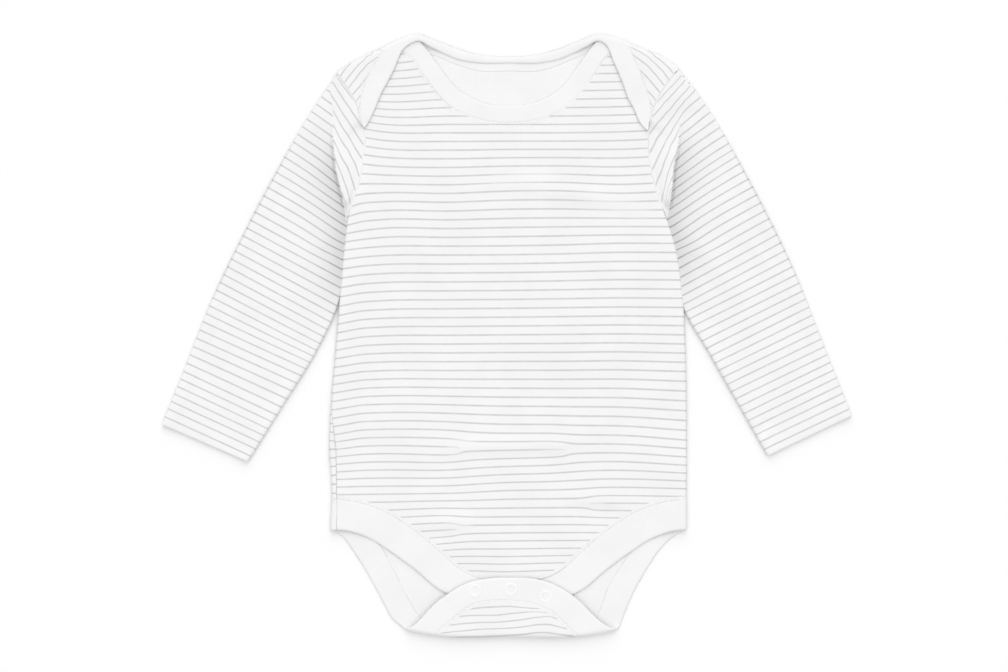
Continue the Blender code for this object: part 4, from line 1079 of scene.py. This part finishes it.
def sleeve_ring(side, share, row, armholes):
    """One ring of a sleeve: across the front, round the inner fold, across the back, round the outer.

    With each point comes how far inside the pleat it is.
    """
    outer, inner = row[:2], row[2:]
    way = unit(inner - outer)
    roll_out = SLEEVE_ROLL + (SHOULDER_ROLL - SLEEVE_ROLL) * (1 - ease(0, SHOULDER_FADE, share))
    start = outer + way * (roll_out + CLOTH / 2)
    end = inner - way * (SLEEVE_ROLL + CLOTH / 2)
    fade = max(0.0, 1 - share / ARMHOLE_FADE) ** 2

    def across_layer(count, armhole):
        """Places across a layer, the armhole's beside them, and how far across they are."""
        shares = np.linspace(0, 1, count + 1)
        seam = at_shares(armhole, shares)
        base = start + (end - start) * shares[:, None]
        return base + (seam - base) * fade, seam, shares * np.linalg.norm(end - start)

    plan, seam, across = across_layer(SLEEVE_FRONT, armholes[0])
    off = np.linalg.norm(plan - seam, axis=1)
    on_lap = ease(*LAP_END_Y, seam[:, 1])
    seam_height = front_height(seam) * (1 - on_lap) + (LAP_TOP - CLOTH / 2) * on_lap
    top = sleeve_top(side, plan, off, seam_height, across)
    top += (SLEEVE_BACK_Z + 2 * roll_out - top) * (1 - ease(0, SLEEVE_EASE, across))
    top -= dip(off, SEAM_DIP + SLEEVE_TUCK / 2)
    front = np.column_stack([plan, top, pleat_inside(side, plan)])

    plan, _, _ = across_layer(SLEEVE_BACK, armholes[1])
    outside = np.full(len(plan), -PLEAT_VALLEY_WIDTH)
    back = np.column_stack([plan, SLEEVE_BACK_Z + resting(plan), outside])[::-1]

    def turn(from_front, from_back, way, roll):
        angles = np.linspace(0, pi, SLEEVE_TURN + 1)[1:-1, None]
        centre = from_front[:2] + (from_back[:2] - from_front[:2]) * angles / pi
        middle, half = (from_front[2] + from_back[2]) / 2, (from_front[2] - from_back[2]) / 2
        place = centre + way * roll * np.sin(angles)
        return np.hstack([place, middle + half * np.cos(angles), np.full(angles.shape, outside[0])])

    inner_turn = turn(front[-1], back[0], way, SLEEVE_ROLL)
    return np.vstack([front, inner_turn, back, turn(front[0], back[-1], -way, roll_out)[::-1]])


def from_body(side, plan):
    """How far each place of a sleeve is from its inner edge."""
    rows = placed([row[2:] for row in SLEEVES[side]], side)[::-1]
    return np.maximum(side * (plan[:, 0] - np.interp(plan[:, 1], rows[:, 1], rows[:, 0])), 0)


def painted_shade_amount(side, plan, inside):
    """How much painted shade darkens the sleeve's knit where it goes in beside the pleat and the body."""
    beside = np.minimum(from_body(side, plan), np.where(inside > 0, PAINTED_SHADE_REACH * 2, -inside))
    return fading(beside, PAINTED_SHADE_REACH) * between(*PAINTED_SHADE_Y[side], plan[:, 1]) * (inside < 0)


def sleeve_stripe_number(side, plan):
    """The number of the sleeve's stripe at each place, and how far that is from the outer edge."""
    line = smooth(placed([row[:2] for row in SLEEVES[side]], side), STRIPE_STEP)
    steps = np.arange(STRIPES_BEFORE, 0, -STRIPE_STEP), np.arange(STRIPE_STEP, STRIPES_AFTER, STRIPE_STEP)
    before = line[0] + unit(line[0] - line[END_POINTS]) * steps[0][:, None]
    after = line[-1] + unit(line[-1] - line[-1 - END_POINTS]) * steps[1][:, None]
    number, across = nearest(plan, np.vstack([before, line, after]))
    along = (number - len(before)) * STRIPE_STEP * 1000
    slant = np.interp(along, *np.array(STRIPE_SLANT[side]).T)
    bend = fading(from_body(side, plan), BEND_REACH, 2) * between(*BEND_Y[side], plan[:, 1])
    down = slant * across + BEND * bend
    return np.interp(along - down * 1000, *np.array(SLEEVE_STRIPES[side]).T), across


def sleeve_armhole(table, side):
    """The sleeve's edge at the armhole, tucked under the panel's and without its ends."""
    line = smooth(placed(table, side) - [side * SLEEVE_TUCK, 0], FINE)
    along = lengths(line)
    at = np.linspace(SHOULDER_ROLL + CLOTH / 2, along[-1] - UNDERARM_TRIM, len(line))
    return sampled(line, along, at)


def sleeve_knit(side, knit):
    """A flattened tube lofted from ring to ring, open at the armhole and the cuff."""
    shares = np.linspace(0, 1, SLEEVE_RINGS + 1) ** RING_CROWDING
    rows = placed(at_shares(smooth(SLEEVES[side], FINE * 1000), shares), side)
    armholes = [sleeve_armhole(table[side], side) for table in (ARMHOLE, BACK_ARMHOLE)]
    rings = np.array([sleeve_ring(side, share, row, armholes) for share, row in zip(shares, rows)])
    middle, inside = rings[:, :, :3], rings[:, :, 3]
    around = (np.roll(middle, -1, axis=1) - np.roll(middle, 1, axis=1)) / 2
    down = np.gradient(middle, axis=0)
    half = unit(np.cross(around, down)) * side * CLOTH / 2
    # The wall turns in at the cuff and runs back up inside the sleeve.
    angles = np.linspace(0, pi, CUFF_NOSE + 1)[1:-1, None, None]
    nose = middle[-1] + half[-1] * np.cos(angles) + CLOTH / 2 * unit(down[-1]) * np.sin(angles)
    whole = np.concatenate([middle + half, nose, (middle - half)[::-1]])
    count = whole.shape[1]
    faces = loft_faces(len(whole), count, side == LEFT, closed=True)
    mesh = new_mesh(f"sleeve_{SIDE_NAMES[side]}_knit", whole, faces)

    def all_round(values):
        """Values of the middle's points, for the outer face, the cuff's edge and the inner face."""
        values = values.reshape(inside.shape)
        return np.concatenate([values, np.repeat(values[-1:], len(nose), axis=0), values[::-1]]).ravel()

    plan = middle[:, :, :2].reshape(-1, 2)
    corners, _ = face_corners(mesh)
    number, across = sleeve_stripe_number(side, plan)
    pleat = stripe_number(plan, PLEAT_STRIPES_X[side], PLEAT_STRIPES[side])
    write_map(mesh, "Cut", all_round(across)[corners], all_round(number)[corners])
    write_map(mesh, "Pleat", all_round(across)[corners], all_round(pleat)[corners])
    write_value(mesh, "Inside pleat", all_round(inside))
    # Painted shade beside the pleat and the body, kept for the knit's colour.
    write_value(mesh, "Painted shade", all_round(painted_shade_amount(side, plan, inside.ravel())))
    write_value(mesh, "Armhole seam", all_round(nearest(plan, armholes[0])[1]))
    write_value(mesh, "Binding seam", np.ones(len(mesh.vertices)))
    obj = new_object(mesh, knit)
    wrong_side = np.zeros(len(mesh.polygons), np.int32)
    wrong_side[(SLEEVE_RINGS + 1 + CUFF_NOSE // 2) * count :] = 1
    mesh.polygons.foreach_set("material_index", wrong_side)
    closed = np.concatenate([middle, middle[:, :1]], axis=1)
    girth = np.linalg.norm(np.diff(closed, axis=1), axis=2).sum(axis=1)
    length = lengths(middle.mean(axis=1))[-1]
    return obj, (float(girth.max()), float(length)), float(girth.mean() * length)


def on_surface(cut, lay, outward, seam, uneven):
    """A line of the cut as it lies on the cloth's face, and the way out of the cloth there."""
    laid = lay(cut)
    aside, up = (lay(cut + step) - laid for step in ([NORMAL_STEP, 0], [0, NORMAL_STEP]))
    normal = unit(np.cross(aside, up)) * outward
    place = laid + normal * (CLOTH / 2 - seam_relief(cut, [seam]))[:, None]
    place[:, 2] += uneven(laid)
    return place, normal


def stitches(name, rows, thread):
    """All the stitches in the given rows of (places, normals), as one object.

    Each is a short length of thread that goes into the cloth at its ends.
    """
    shares, heights, radii = np.array(STITCH_SECTIONS).T
    turns = np.arange(THREAD_SIDES)[:, None] / THREAD_SIDES * 2 * pi
    count = len(shares) * THREAD_SIDES
    one = loft_faces(len(shares), THREAD_SIDES, True)
    one += [list(range(THREAD_SIDES)), list(range(count - 1, count - 1 - THREAD_SIDES, -1))]
    points, faces = [], []
    for line, normals in rows:
        along = lengths(line)
        for start in np.arange(STITCH_GAP, along[-1] - STITCH, STITCH + STITCH_GAP):
            at = start + shares * STITCH
            place, up = sampled(line, along, at), unit(sampled(normals, along, at))
            aside = np.cross(unit(np.gradient(place, axis=0)), up)
            out = up[:, None] * np.sin(turns) + aside[:, None] * np.cos(turns)
            centre = place + THREAD * up * heights[:, None]
            faces += [[len(points) * count + corner for corner in face] for face in one]
            points.append(centre[:, None] + THREAD * radii[:, None, None] * out)
    return new_object(new_mesh(name, points, faces), [thread])


def panel_stitches(thread):
    """Rows of stitches on the panels beside the bindings."""
    made = []
    for where, lay, outward, rise in (("front", lay_front, 1, front_rise), ("back", lay_back, -1, lifted)):
        rows = []
        for beyond in STITCH_ROWS:
            for name in (f"neck_binding_{where}", f"leg_binding_{where}"):
                seam, way = seam_and_way(name, FINE)
                line = evenly(seam + way * beyond, FINE)
                rows.append(on_surface(line, lay, outward, panel_edge(name), rise))
        made.append(stitches(f"{where}_stitches", rows, thread))
    return made


def snap_place(where):
    return placed([SNAPS[where]], RIGHT)[0]


def snap_ring(where, enamel):
    """A snap's ring, turned from its rounded section."""
    x, y = snap_place(where)
    face = FLAP_TOP + (BAND - CLOTH) / 2 + float(waves(np.array([[x, y]]))[0])
    middle, half = (SNAP_RADIUS + SNAP_HOLE) / 2, (SNAP_RADIUS - SNAP_HOLE) / 2
    angles = np.linspace(0, pi, SNAP_ARC + 1)
    radius = middle + half * np.cos(angles)
    height = face + SNAP_HEIGHT * np.maximum(np.sin(angles), 0) ** 1.5
    turns = np.arange(SNAP_STEPS)[:, None] / SNAP_STEPS * 2 * pi
    places = np.broadcast_arrays(x + radius * np.cos(turns), y + radius * np.sin(turns), height)
    faces = loft_faces(SNAP_STEPS, len(angles), False, closed=True)
    return new_object(new_mesh(f"snap_ring_{where}_enamel", np.stack(places, axis=2), faces), [enamel])


def grey(value):
    return (value, value, value, 1)


class Paint:
    """A new material. Its methods add nodes and give their outputs."""

    def __init__(self, name, roughness, specular, sheen_roughness=None):
        self.material = bpy.data.materials.new(name)
        self.material.use_nodes = True
        self.tree = self.material.node_tree
        self.shader = self.tree.nodes["Principled BSDF"]
        values = {"Roughness": roughness, "Specular IOR Level": specular}
        if sheen_roughness:
            values |= {"Sheen Weight": SHEEN, "Sheen Roughness": sheen_roughness}
        for socket, value in values.items():
            self.shader.inputs[socket].default_value = value

    def shade(self, socket, value):
        self.tree.links.new(value, self.shader.inputs[socket])

    def node(self, kind, inputs=(), **settings):
        """A node with its settings and inputs, each a value or another node's output."""
        node = self.tree.nodes.new(kind)
        for name, value in settings.items():
            setattr(node, name, value)
        for name, value in dict(inputs).items():
            if isinstance(value, bpy.types.NodeSocket):
                self.tree.links.new(value, node.inputs[name])
            else:
                node.inputs[name].default_value = value
        return node

    def maths(self, operation, *values):
        return self.node("ShaderNodeMath", enumerate(values), operation=operation).outputs[0]

    def cut_place(self, name="Cut"):
        """Each point's place in the cut, across and along, in metres."""
        uv = self.node("ShaderNodeUVMap", uv_map=name).outputs[0]
        split = self.node("ShaderNodeSeparateXYZ", {0: uv})
        return split.outputs[0], split.outputs[1]

    def kept(self, name):
        return self.node("ShaderNodeAttribute", attribute_name=name).outputs["Fac"]

    def noise(self, scale, detail=2.0):
        place = self.node("ShaderNodeTexCoord").outputs["Object"]
        inputs = {"Vector": place, "Scale": scale, "Detail": detail}
        return self.node("ShaderNodeTexNoise", inputs).outputs[0]

    def span(self, value, low, high, to_low, to_high):
        inputs = enumerate((value, low, high, to_low, to_high))
        return self.node("ShaderNodeMapRange", inputs, interpolation_type="SMOOTHSTEP").outputs[0]

    def mix(self, share, first, second):
        return self.node("ShaderNodeMix", {0: share, 6: first, 7: second}, data_type="RGBA").outputs[2]

    def uneven(self, scale, softness, low, high):
        """A value that drifts between two, in patches with soft edges."""
        return self.span(self.noise(scale), 0.5 - softness, 0.5 + softness, low, high)

    def drifting(self, greys, scale, softness):
        share = self.uneven(scale, softness, 0.0, 1.0) if softness else self.noise(scale)
        return self.mix(share, *map(grey, greys))

    def bump(self, height, distance=1.0):
        bump = self.node("ShaderNodeBump", {"Height": height, "Distance": distance})
        self.shade("Normal", bump.outputs[0])


def knitted(paint, across, along):
    """Height of the jersey's face, in metres: columns of small slanted loops, and fuzz."""
    column = paint.maths("ABSOLUTE", paint.maths("SINE", paint.maths("MULTIPLY", across, pi / WALE)))
    row = paint.maths("MULTIPLY_ADD", along, 1 / COURSE, paint.maths("MULTIPLY", column, LOOP_LEAN))
    row = paint.maths("SINE", paint.maths("MULTIPLY", row, 2 * pi))
    loops = paint.maths("MULTIPLY_ADD", row, LOOP_ROWS, column)
    fuzz = paint.maths("MULTIPLY_ADD", paint.noise(LOOP_FUZZ_SCALE, 3.0), LOOP_FUZZ, loops)
    return paint.maths("MULTIPLY", fuzz, LOOP_HEIGHT)


def knit_material(name, strength):
    """Fine cotton jersey with thin stripes of this strength."""
    paint = Paint(name, roughness=0.92, specular=0.15, sheen_roughness=0.55)
    across, along = paint.cut_place()
    _, pleat = paint.cut_place("Pleat")
    inside = paint.maths("GREATER_THAN", paint.kept("Inside pleat"), 0.0)
    along = paint.maths("MULTIPLY_ADD", inside, paint.maths("SUBTRACT", pleat, along), along)
    place = paint.maths("ADD", paint.maths("DIVIDE", along, REPEAT), 0.5)
    off = paint.maths("ABSOLUTE", paint.maths("SUBTRACT", paint.maths("FRACT", place), 0.5))
    off = paint.maths("MULTIPLY", off, REPEAT)
    stripe = paint.span(off, STRIPE_HALF - STRIPE_SOFT, STRIPE_HALF + STRIPE_SOFT, 1.0, 0.0)
    seam = paint.kept("Binding seam")
    shares = [paint.uneven(UNEVEN_SCALE, 0.2, UNEVEN_STRENGTH, 1.0)]
    for away, stop in ((seam, STRIPE_STOP), (paint.kept("Armhole seam"), ARMHOLE_STOP)):
        shares.append(paint.span(away, stop - STOP_SOFT, stop + STOP_SOFT, 0.0, 1.0))
    shares.append(paint.span(paint.kept("Faint"), 0.0, 1.0, 1.0, FAINT_STRENGTH))
    for share in (*shares, strength):
        stripe = paint.maths("MULTIPLY", stripe, share)
    own_colour = paint.mix(stripe, paint.drifting(*KNIT_TONES), grey(STRIPE_GREY))
    # Painted shade: the knit and its stripes darken beside the pleat and the body, where shade falls.
    painted_shade_colour = paint.mix(stripe, grey(PAINTED_SHADE_GREY), grey(PAINTED_SHADE_STRIPE_GREY))
    paint.shade("Base Color", paint.mix(paint.kept("Painted shade"), own_colour, painted_shade_colour))
    valley = paint.maths("ABSOLUTE", paint.maths("SUBTRACT", seam, VALLEY))
    valley = paint.span(valley, 0.0, VALLEY_WIDTH, -VALLEY_DEPTH, 0.0)
    paint.bump(paint.maths("ADD", knitted(paint, across, along), valley))
    return paint.material


def rib_material():
    """White rib binding: fine ribs across its width, and the knit's rows."""
    paint = Paint("white rib", roughness=0.88, specular=0.2, sheen_roughness=0.5)
    along, across = paint.cut_place()
    rib = paint.maths("SINE", paint.maths("MULTIPLY", along, 2 * pi / RIB))
    row = paint.maths("SINE", paint.maths("MULTIPLY", across, 2 * pi / COURSE))
    height = paint.maths("MULTIPLY_ADD", row, RIB_ROWS, rib)
    height = paint.maths("MULTIPLY_ADD", paint.noise(RIB_FUZZ_SCALE, 3.0), RIB_FUZZ, height)
    paint.shade("Base Color", paint.drifting(*RIB_TONES))
    paint.bump(height, RIB_HEIGHT)
    return paint.material


def thread_material():
    """Soft white sewing thread with its twist."""
    paint = Paint("white thread", roughness=0.7, specular=0.3)
    paint.shade("Base Color", paint.drifting(*THREAD_TONES))
    paint.bump(paint.noise(THREAD_SCALE), THREAD_HEIGHT)
    return paint.material


def enamel_material():
    """White enamel on the snaps' rings, a little uneven."""
    paint = Paint("snap enamel", roughness=0.5, specular=0.5)
    paint.shade("Base Color", paint.drifting(*ENAMEL_TONES))
    paint.shade("Roughness", paint.uneven(ENAMEL_GLOSS_SCALE, 0.2, *ENAMEL_GLOSS))
    paint.bump(paint.noise(ENAMEL_SCALE), ENAMEL_HEIGHT)
    return paint.material


def floor():
    """A plain white surface, with a little unevenness in its paint."""
    paint = Paint("white surface", roughness=0.8, specular=0.1)
    paint.shade("Base Color", paint.drifting(*FLOOR_TONES))
    corners = np.array([(-1, -1, 0), (1, -1, 0), (1, 1, 0), (-1, 1, 0)]) * FLOOR_HALF
    obj = new_object(new_mesh("floor", corners, [(0, 1, 2, 3)]), [paint.material])
    obj.location.z = FLOOR_Z


def lights():
    world = bpy.data.worlds.new("studio")
    world.use_nodes = True
    world.node_tree.nodes["Background"].inputs["Color"].default_value = grey(1)
    world.node_tree.nodes["Background"].inputs["Strength"].default_value = WORLD_LIGHT
    bpy.context.scene.world = world
    for name, (energy, angle, lean) in LIGHTS.items():
        data = bpy.data.lights.new(name, "SUN")
        data.energy, data.angle = energy, angle
        obj = bpy.data.objects.new(name, data)
        obj.rotation_euler = (-lean, 0, 0)
        bpy.context.scene.collection.objects.link(obj)


def camera(shift):
    """A camera straight above, at the height where the picture spans what the photograph does."""
    data = bpy.data.cameras.new("camera")
    data.lens, data.sensor_width, data.clip_end = LENS, SENSOR, CLIP_END
    obj = bpy.data.objects.new("camera", data)
    bpy.context.scene.collection.objects.link(obj)
    obj.location = (
        (IMAGE_WIDTH / 2 - TABLE_U) * PIXEL + shift.x,
        (TABLE_V - IMAGE_HEIGHT / 2) * PIXEL + shift.y,
        IMAGE_WIDTH * PIXEL * LENS / SENSOR + LAP_TOP / 2,
    )
    bpy.context.scene.camera = obj


def seen_shift():
    """From the tables' places to the frame's, by the middle snap's ring."""
    low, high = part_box("snap_ring_middle")
    x, y = snap_place("middle")
    return Vector(((low.x + high.x) / 2 - x, (low.y + high.y) / 2 - y, low.z - FLAP_TOP - GAP))


def put(obj, shift, node):
    obj.location = shift
    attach(obj, "root")
    if node:
        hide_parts(node)


def main():
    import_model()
    shift = seen_shift()
    knit = [knit_material("striped knit", 1.0), knit_material("knit wrong side", WRONG_STRENGTH)]
    rib, thread, enamel = rib_material(), thread_material(), enamel_material()

    sheets = [
        ("back_panel", "striped_knit", "folded", [], back_knit(knit)),
        ("front_panel", "striped_knit", "laid", ["back_knit"], front_knit(knit)),
        ("sleeve_left", "striped_knit", "laid", [], sleeve_knit(LEFT, knit)),
        ("sleeve_right", "striped_knit", "laid", [], sleeve_knit(RIGHT, knit)),
    ]
    for node, held, rests_on, *how in (
        ("neck_binding_front", "laid", ["back_knit"], lay_front, 1, rib),
        ("leg_binding_front", "laid", ["back_knit"], lay_front, -1, rib),
        ("neck_binding_back", "folded", [], lay_back, -1, rib, True),
        ("leg_binding_back", "folded", [], lay_back, 1, rib),
    ):
        sheets.append((node, "white_rib", held, rests_on, binding(node, *how)))
    for node, slot, held, rests_on, (obj, flat, area) in sheets:
        put(obj, shift, node)
    for obj in panel_stitches(thread):
        put(obj, shift, None)
    for where in SNAPS:
        put(snap_ring(where, enamel), shift, f"snap_ring_{where}")
        press = bpy.data.objects[f"snap_press_{where}"]
        press.data.materials.clear()
        press.data.materials.append(enamel)
    floor()
    lights()
    camera(shift)
    bpy.context.scene.view_settings.view_transform = "Standard"


main()
